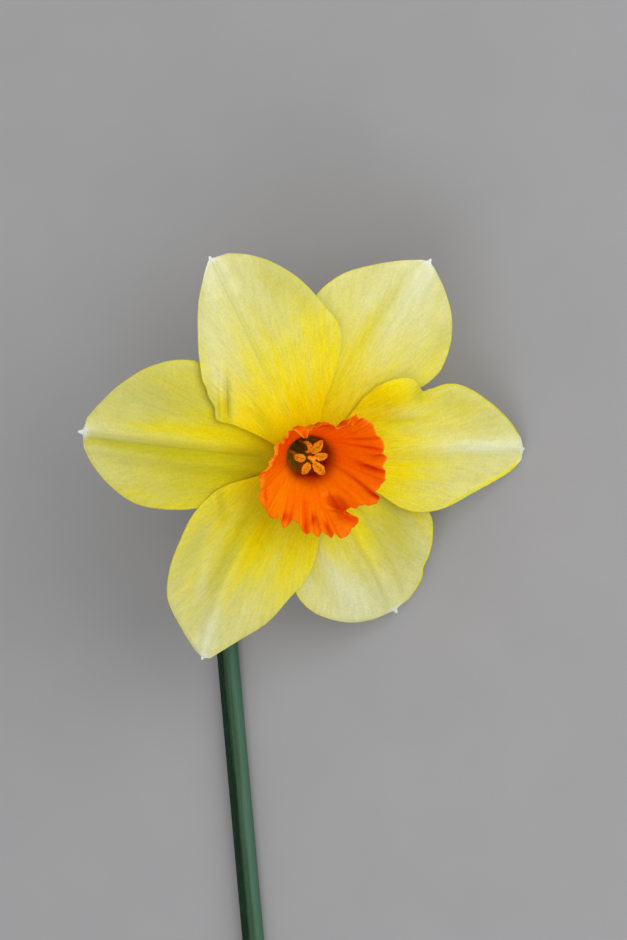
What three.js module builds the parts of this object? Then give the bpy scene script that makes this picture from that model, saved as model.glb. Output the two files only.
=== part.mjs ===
// A daffodil flower as picked: a cut green stem lying on a flat surface, its neck bent round to carry
// one six-tepalled yellow bloom with a ruffled orange corona. Millimetres, +Z up, the floor at z = 0,
// the stem running along +Y from its cut end towards the head.
import * as THREE from 'three';

// ---- Driving dimensions ----
const BLADE = 0.7; // thickness of the tepals, the corona and the spathe
const JOIN_GAP = 0.3; // clearance left where one piece grows out of another

// How the head is carried. The bloom frame has its origin in the throat, X to the bloom's right and
// Y up the bloom; the stem lies flat, so the frame is rolled about the stem's line.
const HEAD_ROLL = 22.5; // degrees about +Y
const STEM_LEAN = 5.1; // degrees between the stem and the bloom frame's own Y
const THROAT = new THREE.Vector3(2.88, 65.58, 36.34);
const AXIS_TILT = 22; // degrees from the bloom frame's Z to the axis of the corona
const AXIS_BEARING = -54; // degrees, the way the corona's axis leans in the bloom frame

// Stem: a hollow scape with a flat underside, then the bent solid neck.
const SCAPE_X = -39; // from the throat
const SCAPE_TOP_Y = -6; // from the throat
const SCAPE_LENGTH = 172;
const SCAPE_HALF_WIDTH = 2.55;
const SCAPE_HALF_HEIGHT = 2.3;
const SCAPE_FLAT = 0.28; // how much the scape's weight flattens its underside
const SCAPE_KEEL = 0.3; // height of the ridge along the top
const SCAPE_KEEL_BEARING = 79; // degrees from +X round to +Z
const SCAPE_AXIS_HEIGHT = SCAPE_HALF_HEIGHT - SCAPE_FLAT;
const LUMEN_RADIUS = 1.25;
const LUMEN_TOP = -6; // from the scape's top
const NECK_RADIUS = 1.75;
const NECK_HANDLES = [20, 15]; // how far the bend keeps straight at the scape and at the ovary

// Flower tube with the ovary at its foot, along the corona's axis from the throat.
const OVARY_FOOT = -27;
const TUBE_TOP = -0.35;
const TUBE_OUTSIDE = [
  [1.9, OVARY_FOOT], [3.0, -26], [3.7, -23.6], [3.75, -21.6], [3.2, -19], [2.7, -16.8],
  [2.75, -13], [3.3, -8], [4.3, -3.6], [5.1, -1.4], [5.65, TUBE_TOP],
];
const TUBE_INSIDE = [[4.85, TUBE_TOP], [4.3, -1.8], [3.45, -4.4], [2.45, -8.6], [1.9, -13], [1.2, -15]];

// Corona: a flared cup with a ruffled rim. Each pair is a bearing in degrees and the rim's radius.
const CORONA_FOOT_RADIUS = 5.35;
const CORONA_FOOT_HEIGHT = 0.45;
const CORONA_HEIGHT = 13;
const CORONA_RUFFLE = 0.9;
const CORONA_RIM = [
  [0, 14.9], [6, 14.1], [14, 15.2], [24, 15.8], [34, 15.7], [45, 16.4], [56, 15.2], [66, 11.4],
  [80, 11.9], [96, 10.8], [106, 12.0], [118, 11.4], [129, 13.2], [141, 13.3], [153, 12.5],
  [165, 12.3], [177, 13.8], [190, 14.4], [204, 14.9], [217, 14.8], [226, 13.3], [234, 14.3],
  [241, 12.0], [252, 13.7], [259, 13.3], [266, 14.5], [271, 12.9], [279, 15.0], [284, 14.4],
  [291, 15.9], [300, 14.9], [307, 11.6], [316, 12.2], [326, 14.3], [333, 14.7], [341, 13.6], [350, 14.7],
];

// Tepals. Tips are in the bloom frame. The half-widths to the left and right of the line from root to
// tip are taken at seven stations that crowd towards the tip. arch lifts the middle of that line, cup
// lifts the margins, groove sinks the midrib and twist turns the blade between its root and its tip.
const TEPAL_ROOT_RADIUS = 6.3;
const TEPAL_ROOT_HALF = 3.0;
const TEPAL_TIP_HALF = 0.5;
const INNER_RISE = 0.3; // the inner whorl sits this far before the throat's plane
const OUTER_RISE = -0.95;
const TEPALS = [
  {
    name: 'tepal_inner_1', bearing: 117, inner: true, tip: [-21.8, 44.3, 12.8],
    left: [12.0, 14.2, 12.5, 9.7, 6.7, 3.7, 1.3], right: [13.3, 19.1, 18.2, 16.4, 13.2, 8.9, 3.9],
    arch: 2.6, cup: 0.5, groove: 0.5, twist: 0.02, wave: 0.35,
  },
  {
    name: 'tepal_outer_1', bearing: 57, inner: false, tip: [27.4, 44.1, 0.8],
    left: [10.4, 15.4, 17.7, 16.1, 11.8, 6.5, 1.9], right: [6.4, 11.5, 15.0, 14.4, 11.0, 6.8, 2.4],
    arch: 1.6, cup: -0.9, groove: -0.5, twist: -0.05, wave: 0.3,
  },
  {
    name: 'tepal_inner_2', bearing: -3, inner: true, tip: [49.3, 1.9, -17.75],
    left: [14.1, 17.2, 15.1, 14.7, 11.4, 6.8, 2.6], right: [7.5, 12.6, 12.8, 10.2, 7.9, 5.4, 2.5],
    arch: 2.2, cup: 0.9, groove: 0.5, twist: 0.04, wave: 0.4,
  },
  {
    name: 'tepal_outer_2', bearing: -63, inner: false, tip: [20.1, -35.2, -28],
    left: [9.6, 14.3, 17.4, 15.5, 11.7, 7.8, 2.4], right: [9.3, 14.1, 17.2, 17.1, 14.2, 10.3, 3.8],
    arch: 2.4, cup: -0.7, groove: -0.4, twist: 0.02, wave: 0.4,
  },
  {
    name: 'tepal_inner_3', bearing: -117, inner: true, tip: [-24.1, -45.8, -16.1],
    left: [10.5, 12.5, 11.5, 8.5, 5.3, 2.8, 1.0], right: [13.8, 16.9, 16.7, 15.6, 13.0, 8.2, 2.8],
    arch: 2.4, cup: 0.4, groove: -0.7, twist: 0.0, wave: 0.3,
  },
  {
    name: 'tepal_outer_3', bearing: 177, inner: false, tip: [-51.3, 5.7, 7.1],
    left: [9.3, 13.6, 15.0, 14.1, 11.1, 6.9, 2.1], right: [13.4, 17.8, 18.8, 16.7, 12.8, 7.9, 3.0],
    arch: 2.0, cup: -0.6, groove: 0.9, twist: 0.03, wave: 0.35,
  },
];

// Stamens, in the frame of the corona's axis: each anther runs from its inner end by way of a middle
// control point to its outer end, and its filament leaves the tube wall at the given bearing.
const ANTHER_HALF_WIDTH = 0.75;
const ANTHER_HALF_DEPTH = 0.5;
const FILAMENT_RADIUS = 0.35;
const FILAMENT_ROOT_RADIUS = 2.75;
const FILAMENT_ROOT_HEIGHT = -4.5;
const STAMENS = [
  { from: [-0.8, 2.2, 2.1], via: [0.2, 3.6, 3.0], to: [-1.5, 4.3, 1.7], root: 112 },
  { from: [0.8, 2.1, 2.4], via: [1.9, 3.1, 2.5], to: [3.1, 3.8, 1.8], root: 55 },
  { from: [-1.4, 0.3, 2.4], via: [-2.5, 0.5, 2.5], to: [-3.5, 1.0, 1.8], root: 163 },
  { from: [1.9, 0.8, 2.4], via: [3.1, 0.7, 2.6], to: [4.5, 0.5, 1.9], root: 8 },
  { from: [-0.6, -1.0, 2.4], via: [-1.1, -2.2, 2.5], to: [-1.6, -3.5, 1.8], root: 243 },
  { from: [1.4, -1.2, 2.4], via: [2.4, -2.6, 2.5], to: [3.5, -3.8, 1.8], root: 311 },
];

// Pistil: a slender style with a three-lobed stigma a little above the anthers.
const STYLE_FOOT = new THREE.Vector3(0, 0, -14);
const STYLE_TOP = new THREE.Vector3(0.45, 0.3, 3.1);
const STYLE_RADIUS = 0.42;
const STIGMA_RADIUS = 1.15;

// Spathe: the papery sheath that once covered the bud, split open along the side the neck leaves by.
const SPATHE_PATH = [[-39, -10, 2.7], [-39, 6, 3.0], [-35.5, 18.5, 5.6]]; // from under the throat
const SPATHE_RADII = [3.35, 3.8, 4.1, 3.4, 2.2];
const SPATHE_OPENING = [[-5, 205], [35, 208], [70, 206], [88, 196], [118, 158]]; // degrees along it

// ---- Small helpers ----
const radians = THREE.MathUtils.degToRad;
const lerp = THREE.MathUtils.lerp;

// A smooth value read from evenly spaced samples, at v from 0 to 1.
function spline(values, v) {
  const curve = new THREE.SplineCurve(values.map((value, i) => new THREE.Vector2(i, value)));
  return curve.getPoint(v).y;
}

// A closed mesh skinned over rings of equal size: ends are filled by a fan, or the last ring is
// joined back to the first. Rings run so that their faces point outwards.
function skin(rings, { joined = false } = {}) {
  const sides = rings[0].length;
  const points = rings.flat();
  const faces = [];
  const spans = joined ? rings.length : rings.length - 1;
  for (let i = 0; i < spans; i += 1) {
    const low = i * sides;
    const high = ((i + 1) % rings.length) * sides;
    for (let j = 0; j < sides; j += 1) {
      const next = (j + 1) % sides;
      faces.push(low + j, low + next, high + next, low + j, high + next, high + j);
    }
  }
  if (!joined) {
    fillEnd(points, faces, rings[0], 0, true);
    fillEnd(points, faces, rings[rings.length - 1], (rings.length - 1) * sides, false);
  }
  return meshGeometry(points, faces);
}

function fillEnd(points, faces, ring, start, first) {
  const centre = ring.reduce((sum, p) => sum.add(p), new THREE.Vector3()).divideScalar(ring.length);
  const hub = points.push(centre) - 1;
  for (let j = 0; j < ring.length; j += 1) {
    const next = (j + 1) % ring.length;
    if (first) faces.push(hub, start + next, start + j);
    else faces.push(hub, start + j, start + next);
  }
}

function meshGeometry(points, faces) {
  const geometry = new THREE.BufferGeometry();
  geometry.setAttribute('position', new THREE.Float32BufferAttribute(points.flatMap((p) => p.toArray()), 3));
  geometry.setIndex(faces);
  geometry.computeVertexNormals();
  return geometry;
}

// The unit normal of a surface given as a function of two numbers from 0 to 1.
function surfaceNormal(surface, a, b) {
  const step = 0.004;
  const along = surface(Math.min(a + step, 1), b).sub(surface(Math.max(a - step, 0), b));
  const across = surface(a, Math.min(b + step, 1)).sub(surface(a, Math.max(b - step, 0)));
  return along.cross(across).normalize();
}

// A blade of even thickness over a surface: both faces carry the same triangles, and a rim joins them.
function blade(surface, rows, columns) {
  const points = [];
  for (const side of [0.5, -0.5]) {
    for (let i = 0; i <= rows; i += 1) {
      for (let j = 0; j <= columns; j += 1) {
        const a = i / rows;
        const b = j / columns;
        points.push(surface(a, b).addScaledVector(surfaceNormal(surface, a, b), side * BLADE));
      }
    }
  }
  const width = columns + 1;
  const back = (rows + 1) * width;
  const faces = [];
  for (let i = 0; i < rows; i += 1) {
    for (let j = 0; j < columns; j += 1) {
      const p = i * width + j;
      const q = p + width;
      faces.push(p, q, q + 1, p, q + 1, p + 1);
      faces.push(back + p, back + q + 1, back + q, back + p, back + p + 1, back + q + 1);
    }
  }
  const rim = [];
  for (let j = 0; j < columns; j += 1) rim.push(j);
  for (let i = 0; i < rows; i += 1) rim.push(i * width + columns);
  for (let j = columns; j > 0; j -= 1) rim.push(rows * width + j);
  for (let i = rows; i > 0; i -= 1) rim.push(i * width);
  rim.forEach((p, i) => {
    const q = rim[(i + 1) % rim.length];
    faces.push(p, q, back + q, p, back + q, back + p);
  });
  return meshGeometry(points, faces);
}

// A rod along a curve. section(t, angle) gives the distance from the curve to the skin.
function rod(curve, steps, sides, section, side = new THREE.Vector3(1, 0, 0)) {
  const rings = [];
  const normal = side.clone();
  for (let i = 0; i <= steps; i += 1) {
    const t = i / steps;
    const tangent = curve.getTangent(t);
    normal.addScaledVector(tangent, -normal.dot(tangent)).normalize();
    const binormal = tangent.clone().cross(normal);
    rings.push(ring(curve.getPoint(t), normal, binormal, sides, (angle) => section(t, angle)));
  }
  return rings;
}

function ring(centre, first, second, sides, radius) {
  return Array.from({ length: sides }, (_, j) => {
    const angle = (2 * Math.PI * j) / sides;
    const r = radius(angle);
    return centre.clone().addScaledVector(first, r * Math.cos(angle)).addScaledVector(second, r * Math.sin(angle));
  });
}

function addMesh(group, name, geometry, color, roughness) {
  const mesh = new THREE.Mesh(geometry, new THREE.MeshStandardMaterial({ color, roughness, metalness: 0 }));
  mesh.name = name;
  group.add(mesh);
}

// ---- Frames ----
const flower = new THREE.Group();
const bloom = new THREE.Group();
bloom.position.copy(THROAT);
bloom.rotation.set(0, radians(HEAD_ROLL), -radians(STEM_LEAN), 'YXZ');
flower.add(bloom);

const axis = new THREE.Vector3(
  Math.sin(radians(AXIS_TILT)) * Math.cos(radians(AXIS_BEARING)),
  Math.sin(radians(AXIS_TILT)) * Math.sin(radians(AXIS_BEARING)),
  Math.cos(radians(AXIS_TILT)),
);
const axisRight = new THREE.Vector3(1, 0, 0).addScaledVector(axis, -axis.x).normalize();
const axisUp = axis.clone().cross(axisRight);
const cup = new THREE.Group();
cup.setRotationFromMatrix(new THREE.Matrix4().makeBasis(axisRight, axisUp, axis));
bloom.add(cup);
flower.updateMatrixWorld(true);

// ---- Tepals ----
// Stations crowd towards the tip, where the outline turns most.
const station = (v) => 1.5 * v - 0.5 * v ** 3;

function tepalSurface(tepal) {
  const bearing = radians(tepal.bearing);
  const outward = new THREE.Vector3(Math.cos(bearing), Math.sin(bearing), 0);
  outward.z = -(axis.x * outward.x + axis.y * outward.y) / axis.z;
  outward.normalize();
  const root = outward.multiplyScalar(TEPAL_ROOT_RADIUS).addScaledVector(axis, tepal.inner ? INNER_RISE : OUTER_RISE);
  const tip = new THREE.Vector3(...tepal.tip);
  const along = new THREE.Vector2(tip.x - root.x, tip.y - root.y).normalize();
  const leftward = new THREE.Vector2(-along.y, along.x);
  const slope = -(axis.x * leftward.x + axis.y * leftward.y) / axis.z;
  const left = [TEPAL_ROOT_HALF, ...tepal.left, TEPAL_TIP_HALF];
  const right = [TEPAL_ROOT_HALF, ...tepal.right, TEPAL_TIP_HALF];
  const widest = (Math.max(...left) + Math.max(...right)) / 2;
  return (v, b) => {
    const s = station(v);
    const u = 1 - 2 * b;
    const w = u * spline(u > 0 ? left : right, v);
    const across = w / widest;
    const open = Math.sin(Math.PI * Math.min(1, s * 1.6) / 2);
    let z = lerp(root.z, tip.z, s) + 4 * tepal.arch * s * (1 - s);
    z += (slope + tepal.twist * s) * w;
    z += tepal.cup * open * across ** 2;
    z -= tepal.groove * open * Math.exp(-((w / 1.8) ** 2));
    z += tepal.wave * open * u ** 4 * Math.sin(9 * s + 4 * Math.sign(u));
    return new THREE.Vector3(lerp(root.x, tip.x, s) + leftward.x * w, lerp(root.y, tip.y, s) + leftward.y * w, z);
  };
}

for (const tepal of TEPALS) {
  addMesh(bloom, tepal.name, blade(tepalSurface(tepal), 14, 12), tepal.inner ? '#ead94a' : '#dccd5a', 0.6);
}

// ---- Corona ----
function rimRadius(bearing) {
  const last = CORONA_RIM.length - 1;
  let i = last;
  while (i > 0 && CORONA_RIM[i][0] > bearing) i -= 1;
  const [from, low] = CORONA_RIM[i];
  const [to, high] = i === last ? [360, CORONA_RIM[0][1]] : CORONA_RIM[i + 1];
  return lerp(low, high, THREE.MathUtils.smoothstep(bearing, from, to));
}

function coronaPoint(turn, t) {
  const bearing = turn * 360;
  const rim = rimRadius(bearing % 360);
  const flare = t ** 1.15;
  const mean = lerp(CORONA_FOOT_RADIUS, 14, flare);
  const radius = mean + (rim - 14) * t ** 3;
  const ruffle = CORONA_RUFFLE * t ** 3 * Math.cos(radians(bearing * 7));
  const height = CORONA_FOOT_HEIGHT + (CORONA_HEIGHT - CORONA_FOOT_HEIGHT) * t + ruffle;
  const angle = radians(bearing);
  return new THREE.Vector3(radius * Math.cos(angle), radius * Math.sin(angle), height);
}

function coronaGeometry() {
  const sides = 74;
  const levels = [0, 0.12, 0.3, 0.5, 0.7, 0.86, 1];
  const wall = (side) => levels.map((t) => Array.from({ length: sides }, (_, j) => {
    const turn = j / sides;
    const step = 0.004;
    const around = coronaPoint(turn + step, t).sub(coronaPoint(turn + 1 - step, t));
    const rising = coronaPoint(turn, Math.min(t + step, 1)).sub(coronaPoint(turn, Math.max(t - step, 0)));
    return coronaPoint(turn, t).addScaledVector(around.cross(rising).normalize(), side * BLADE / 2);
  }));
  return skin([...wall(1), ...wall(-1).reverse()], { joined: true });
}

addMesh(cup, 'corona', coronaGeometry(), '#f0660c', 0.55);

// ---- Flower tube and ovary ----
function tubeGeometry() {
  const sides = 18;
  const level = (lobed) => ([radius, height]) => ring(
    new THREE.Vector3(0, 0, height),
    new THREE.Vector3(1, 0, 0),
    new THREE.Vector3(0, 1, 0),
    sides,
    (angle) => radius * (1 + (lobed && height < -18 ? 0.05 * Math.cos(3 * angle) : 0)),
  );
  return skin([...TUBE_OUTSIDE.map(level(true)), ...TUBE_INSIDE.map(level(false))]);
}

addMesh(cup, 'flower_tube', tubeGeometry(), '#9fae4c', 0.6);

// ---- Stamens and pistil ----
// An anther is two pollen sacs side by side, so its section has a groove along the upper face.
function antherGeometry(stamen) {
  const curve = new THREE.QuadraticBezierCurve3(
    new THREE.Vector3(...stamen.from),
    new THREE.Vector3(...stamen.via),
    new THREE.Vector3(...stamen.to),
  );
  const section = (t, angle) => {
    const end = Math.sqrt(Math.max(0.06, 1 - Math.abs(2 * t - 1) ** 3));
    const groove = 1 - 0.28 * Math.exp(-((Math.cos(angle) / 0.35) ** 2)) * (Math.sin(angle) > 0 ? 1 : 0);
    const oval = Math.hypot(Math.cos(angle) / ANTHER_HALF_WIDTH, Math.sin(angle) / ANTHER_HALF_DEPTH);
    return (end * groove) / oval;
  };
  const flat = curve.getTangent(0).cross(new THREE.Vector3(0, 0, 1)).negate();
  return skin(rod(curve, 7, 10, section, flat));
}

function filamentGeometry(stamen) {
  const root = radians(stamen.root);
  const foot = new THREE.Vector3(
    FILAMENT_ROOT_RADIUS * Math.cos(root),
    FILAMENT_ROOT_RADIUS * Math.sin(root),
    FILAMENT_ROOT_HEIGHT,
  );
  const head = new THREE.Vector3(...stamen.from).multiplyScalar(0.25);
  head.addScaledVector(new THREE.Vector3(...stamen.via), 0.5);
  head.addScaledVector(new THREE.Vector3(...stamen.to), 0.25);
  head.z -= ANTHER_HALF_DEPTH + JOIN_GAP;
  const middle = foot.clone().lerp(head, 0.6);
  middle.z = lerp(foot.z, head.z, 0.4);
  const curve = new THREE.QuadraticBezierCurve3(foot, middle, head);
  return skin(rod(curve, 5, 6, () => FILAMENT_RADIUS));
}

STAMENS.forEach((stamen, i) => {
  addMesh(cup, `filament_${i + 1}`, filamentGeometry(stamen), '#a8602a', 0.6);
  addMesh(cup, `anther_${i + 1}`, antherGeometry(stamen), '#e39a1c', 0.8);
});

function pistilGeometry() {
  const curve = new THREE.LineCurve3(STYLE_FOOT, STYLE_TOP);
  const section = (t, angle) => {
    const spread = THREE.MathUtils.smoothstep(t, 0.86, 0.99);
    return lerp(STYLE_RADIUS, STIGMA_RADIUS * (1 + 0.22 * Math.cos(3 * angle)), spread);
  };
  const rings = [0, 0.5, 0.86, 0.92, 0.96, 1].map((t) => rod(curve, 25, 12, section)[Math.round(25 * t)]);
  return skin(rings);
}

addMesh(cup, 'pistil', pistilGeometry(), '#e8892a', 0.6);

// ---- Stem ----
// The scape's section: an oval with a keel on top, cut flat where it lies on the floor.
function scapeRadius(angle) {
  const oval = 1 / Math.hypot(Math.cos(angle) / SCAPE_HALF_WIDTH, Math.sin(angle) / SCAPE_HALF_HEIGHT);
  const offset = THREE.MathUtils.euclideanModulo(angle - radians(SCAPE_KEEL_BEARING) + Math.PI, 2 * Math.PI) - Math.PI;
  const keel = SCAPE_KEEL * Math.exp(-((offset / 0.35) ** 2));
  const floor = Math.sin(angle) < 0 ? SCAPE_AXIS_HEIGHT / -Math.sin(angle) : Infinity;
  return Math.min(oval + keel, floor);
}

function stemGeometry() {
  const top = new THREE.Vector3(THROAT.x + SCAPE_X, THROAT.y + SCAPE_TOP_Y, SCAPE_AXIS_HEIGHT);
  const cut = top.clone().add(new THREE.Vector3(0, -SCAPE_LENGTH, 0));
  const back = axis.clone().negate().transformDirection(bloom.matrixWorld);
  const ovary = new THREE.Vector3(0, 0, OVARY_FOOT - JOIN_GAP).applyMatrix4(cup.matrixWorld);
  const neck = new THREE.CubicBezierCurve3(
    top,
    top.clone().add(new THREE.Vector3(0, NECK_HANDLES[0], 0)),
    ovary.clone().addScaledVector(back, NECK_HANDLES[1]),
    ovary,
  );
  const sides = 18;
  const right = new THREE.Vector3(1, 0, 0);
  const down = new THREE.Vector3(0, 0, -1);
  const upright = (at, radius) => ring(at, right, down, sides, (angle) => radius(-angle));
  const neckRings = rod(neck, 12, sides, (t, angle) => lerp(
    scapeRadius(-angle),
    NECK_RADIUS + 0.2 * t ** 6,
    THREE.MathUtils.smoothstep(t, 0, 0.35),
  ));
  const lumenTop = top.clone().add(new THREE.Vector3(0, LUMEN_TOP, 0));
  const rings = [
    upright(lumenTop, () => LUMEN_RADIUS),
    upright(cut, () => LUMEN_RADIUS),
    upright(cut, scapeRadius),
    ...neckRings,
  ];
  return skin(rings);
}

addMesh(flower, 'stem', stemGeometry(), '#3d5f47', 0.55);

// ---- Spathe ----
function spatheSurface(v, b) {
  const [foot, middle, tip] = SPATHE_PATH.map((p) => new THREE.Vector3(THROAT.x + p[0], THROAT.y + p[1], p[2]));
  const centre = new THREE.QuadraticBezierCurve3(foot, middle, tip).getPoint(v);
  const from = spline(SPATHE_OPENING.map((pair) => pair[0]), v);
  const to = spline(SPATHE_OPENING.map((pair) => pair[1]), v);
  const angle = radians(lerp(to, from, b));
  const radius = spline(SPATHE_RADII, v);
  return centre.add(new THREE.Vector3(radius * Math.cos(angle), 0, radius * Math.sin(angle)));
}

addMesh(flower, 'spathe', blade(spatheSurface, 10, 10), '#b79a68', 0.8);

export default flower;
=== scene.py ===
"""Dresses a picked daffodil: six veined yellow tepals, a ruffled orange corona, stamens and a green stem.

Sizes are millimetres and angles are degrees unless a name says otherwise; MM turns millimetres into
Blender's metres. Three frames are used: the row's own, with +Z up and the stem along +Y; the bloom's,
whose origin is in the throat; and the cup's, whose Z is the axis of the corona.
"""
from __future__ import annotations

import logging
import math
from dataclasses import dataclass, field
from enum import Enum
from functools import partial
from typing import Callable, Iterable, Sequence

import bmesh
import bpy
from mathutils import Matrix, Vector, noise

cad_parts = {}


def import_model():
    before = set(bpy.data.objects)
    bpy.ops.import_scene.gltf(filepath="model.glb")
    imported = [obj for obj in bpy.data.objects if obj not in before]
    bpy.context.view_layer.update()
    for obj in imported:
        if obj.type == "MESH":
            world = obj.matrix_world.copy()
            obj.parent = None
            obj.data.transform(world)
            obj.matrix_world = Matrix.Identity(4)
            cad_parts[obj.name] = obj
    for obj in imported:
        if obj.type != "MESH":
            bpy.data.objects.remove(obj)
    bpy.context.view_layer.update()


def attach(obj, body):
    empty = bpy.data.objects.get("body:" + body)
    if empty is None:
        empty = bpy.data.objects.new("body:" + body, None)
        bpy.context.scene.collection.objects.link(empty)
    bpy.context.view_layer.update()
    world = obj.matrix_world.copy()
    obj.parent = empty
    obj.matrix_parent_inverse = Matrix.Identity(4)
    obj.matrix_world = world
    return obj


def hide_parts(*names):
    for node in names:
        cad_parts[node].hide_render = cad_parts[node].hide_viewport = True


MM = 0.001
LOG = logging.getLogger("daffodil")

# Most values of a noise pattern lie in this span.
NOISE_SPAN = (0.3, 0.7)
# How far, in radians, before the start of a turn lies the side where the throat and the tube's lip get their
# painted shade, a dark red.
SHADED_SIDE = 0.8
# The thickness of a sheet where its weight is 0, as a share of the full thickness.
THINNEST = 0.35

Piece = bpy.types.Object
Socket = bpy.types.NodeSocket
Colour = tuple[float, float, float]
# A layer of noise: its scale, its seed and its height.
Layer = tuple[float, float, float]
# A mark and a surface are read at a place along and a place across or round, each from 0 to 1.
Mark = Callable[[float, float], float]
Surface = Callable[[float, float], Vector]


class Side(Enum):
    """The two halves of a blade, seen from its root towards its tip."""

    LEFT = 1
    RIGHT = -1


class Whorl(Enum):
    """The two rings of tepals; the value is how far before the throat's plane the ring is set."""

    INNER = 0.3
    OUTER = -0.95


# ---- Numbers and curves ----
def mix(low: float, high: float, share: float) -> float:
    """Returns the value that lies a share of the way from low to high."""
    return low + (high - low) * share


def smooth(low: float, high: float, value: float) -> float:
    """Returns a soft step from 0 at low to 1 at high."""
    t = min(1.0, max(0.0, (value - low) / (high - low)))
    return t * t * (3 - 2 * t)


def bell(value: float, reach: float) -> float:
    """Returns a bell curve of height 1 whose sides fall off over the given reach."""
    return math.exp(-((value / reach) ** 2))


def window(value: float, start: float, end: float, soft: float) -> float:
    """Returns 1 between start and end, falling softly to 0 outside them."""
    return smooth(start - soft, start, value) * (1 - smooth(end, end + soft, value))


def grain(x: float, y: float, seed: float) -> float:
    """Returns smooth noise from about -1 to 1; the seed picks the layer it is read from."""
    return noise.noise(Vector((x, y, seed * 7.31)))


def ripples(x: float, y: float, layers: Sequence[Layer], shift: float = 0.0) -> float:
    """Returns the sum of layers of noise, each given by its scale, its seed and its height."""
    return sum(grain(x * scale, y * scale + shift, seed) * height for scale, seed, height in layers)


def hermite(low: float, high: float, start: float, end: float, t: float) -> float:
    """Reads a cubic curve between two values.

    Args:
        low: The first value.
        high: The last value.
        start: The slope at the first.
        end: The slope at the last.
        t: Where to read, from 0 to 1.

    Returns:
        The curve's value there.
    """
    cubic = 2 * low - 2 * high + start + end
    square = -3 * low + 3 * high - 2 * start - end
    return cubic * t**3 + square * t**2 + start * t + low


def spline(values: Sequence[float], v: float) -> float:
    """Reads a smooth curve through evenly spaced samples.

    Args:
        values: The samples, first to last.
        v: Where to read, from 0 to 1.

    Returns:
        The curve's value there.
    """
    last = len(values) - 1
    place = min(max(v, 0.0), 1.0) * last
    i = min(int(place), last - 1)
    before, here, after = values[max(i - 1, 0)], values[i], values[i + 1]
    beyond = values[min(i + 2, last)]
    return hermite(here, after, (after - before) / 2, (beyond - here) / 2, place - i)


def bezier(points: Sequence[Vector], t: float) -> Vector:
    """Reads a Bezier curve.

    Args:
        points: The control points.
        t: Where to read, from 0 to 1.

    Returns:
        The curve's point there.
    """
    level = [p.copy() for p in points]
    while len(level) > 1:
        level = [a.lerp(b, t) for a, b in zip(level, level[1:])]
    return level[0]


# ---- Where the parts of the flower are ----
@dataclass(frozen=True)
class Carriage:
    """How the head is carried over the surface that the flower lies on."""

    throat: Vector = field(default_factory=lambda: Vector((2.88, 65.58, 36.34)))
    head_roll: float = 22.5
    stem_lean: float = 5.1
    axis_tilt: float = 22.0
    axis_bearing: float = -54.0

    def axis(self) -> Vector:
        """Works out which way the corona faces.

        Returns:
            The corona's axis, in the bloom's frame.
        """
        tilt, bearing = math.radians(self.axis_tilt), math.radians(self.axis_bearing)
        across = math.sin(tilt)
        return Vector((across * math.cos(bearing), across * math.sin(bearing), math.cos(tilt)))

    def bloom(self) -> Matrix:
        """Works out how the bloom sits.

        Returns:
            The bloom's frame in the row's, in millimetres.
        """
        roll = Matrix.Rotation(math.radians(self.head_roll), 4, "Y")
        lean = Matrix.Rotation(-math.radians(self.stem_lean), 4, "Z")
        return Matrix.Translation(self.throat) @ roll @ lean

    def cup(self) -> Matrix:
        """Works out how the corona sits.

        Returns:
            The cup's frame in the row's, in millimetres.
        """
        axis = self.axis()
        right = (Vector((1, 0, 0)) - axis * axis.x).normalized()
        turn = Matrix((right, axis.cross(right), axis)).transposed().to_4x4()
        return self.bloom() @ turn


# ---- Meshes ----
@dataclass
class Sheet:
    """A grid that is bent to a surface, and may be rolled into a tube and closed at its ends."""

    surface: Surface
    rows: int
    columns: int
    place: Matrix
    rolled: bool = False
    capped: bool = False
    marks: dict[str, Mark] = field(default_factory=dict)

    WELD = 1e-7

    def build(self, name: str) -> Piece:
        """Makes the mesh object.

        Args:
            name: The piece's name.

        Returns:
            The object, linked to the scene, at the origin.
        """
        bm = bmesh.new()
        bm.loops.layers.uv.new("UVMap")
        layers = {mark: bm.verts.layers.float.new(mark) for mark in self.marks}
        bmesh.ops.create_grid(bm, x_segments=self.columns, y_segments=self.rows, size=0.5, calc_uvs=True)
        for vert in bm.verts:
            a, b = vert.co.y + 0.5, vert.co.x + 0.5
            for mark, layer in layers.items():
                vert[layer] = self.marks[mark](a, b)
            vert.co = (self.place @ self.surface(a, b)) * MM
        if self.rolled:
            bmesh.ops.remove_doubles(bm, verts=bm.verts, dist=self.WELD)
        if self.capped:
            rims = [edge for edge in bm.edges if edge.is_boundary]
            bmesh.ops.holes_fill(bm, edges=rims, sides=0)
            bmesh.ops.recalc_face_normals(bm, faces=bm.faces)
        return make_object(name, bm)


def make_object(name: str, bm: bmesh.types.BMesh) -> Piece:
    """Turns a bmesh into a smooth-shaded object in the scene, and frees it.

    Args:
        name: The object's name.
        bm: The finished bmesh.

    Returns:
        The object, at the origin.
    """
    for face in bm.faces:
        face.smooth = True
    mesh = bpy.data.meshes.new(name)
    bm.to_mesh(mesh)
    bm.free()
    piece = bpy.data.objects.new(name, mesh)
    bpy.context.scene.collection.objects.link(piece)
    return piece


def thicken(piece: Piece, thickness: float, thin_mark: str | None = None) -> None:
    """Gives a sheet its thickness about its middle, thinner where the marked weight is low.

    Args:
        piece: The sheet's object.
        thickness: The full thickness in millimetres.
        thin_mark: A float attribute from 0, thin, to 1, full thickness.
    """
    solid = piece.modifiers.new("thickness", "SOLIDIFY")
    solid.thickness = thickness * MM
    solid.offset = 0
    solid.use_even_offset = False
    if thin_mark:
        group = piece.vertex_groups.new(name=thin_mark)
        values = piece.data.attributes[thin_mark].data
        for i, value in enumerate(values):
            group.add([i], value.value, "REPLACE")
        solid.vertex_group = group.name
        solid.thickness_vertex_group = THINNEST


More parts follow.
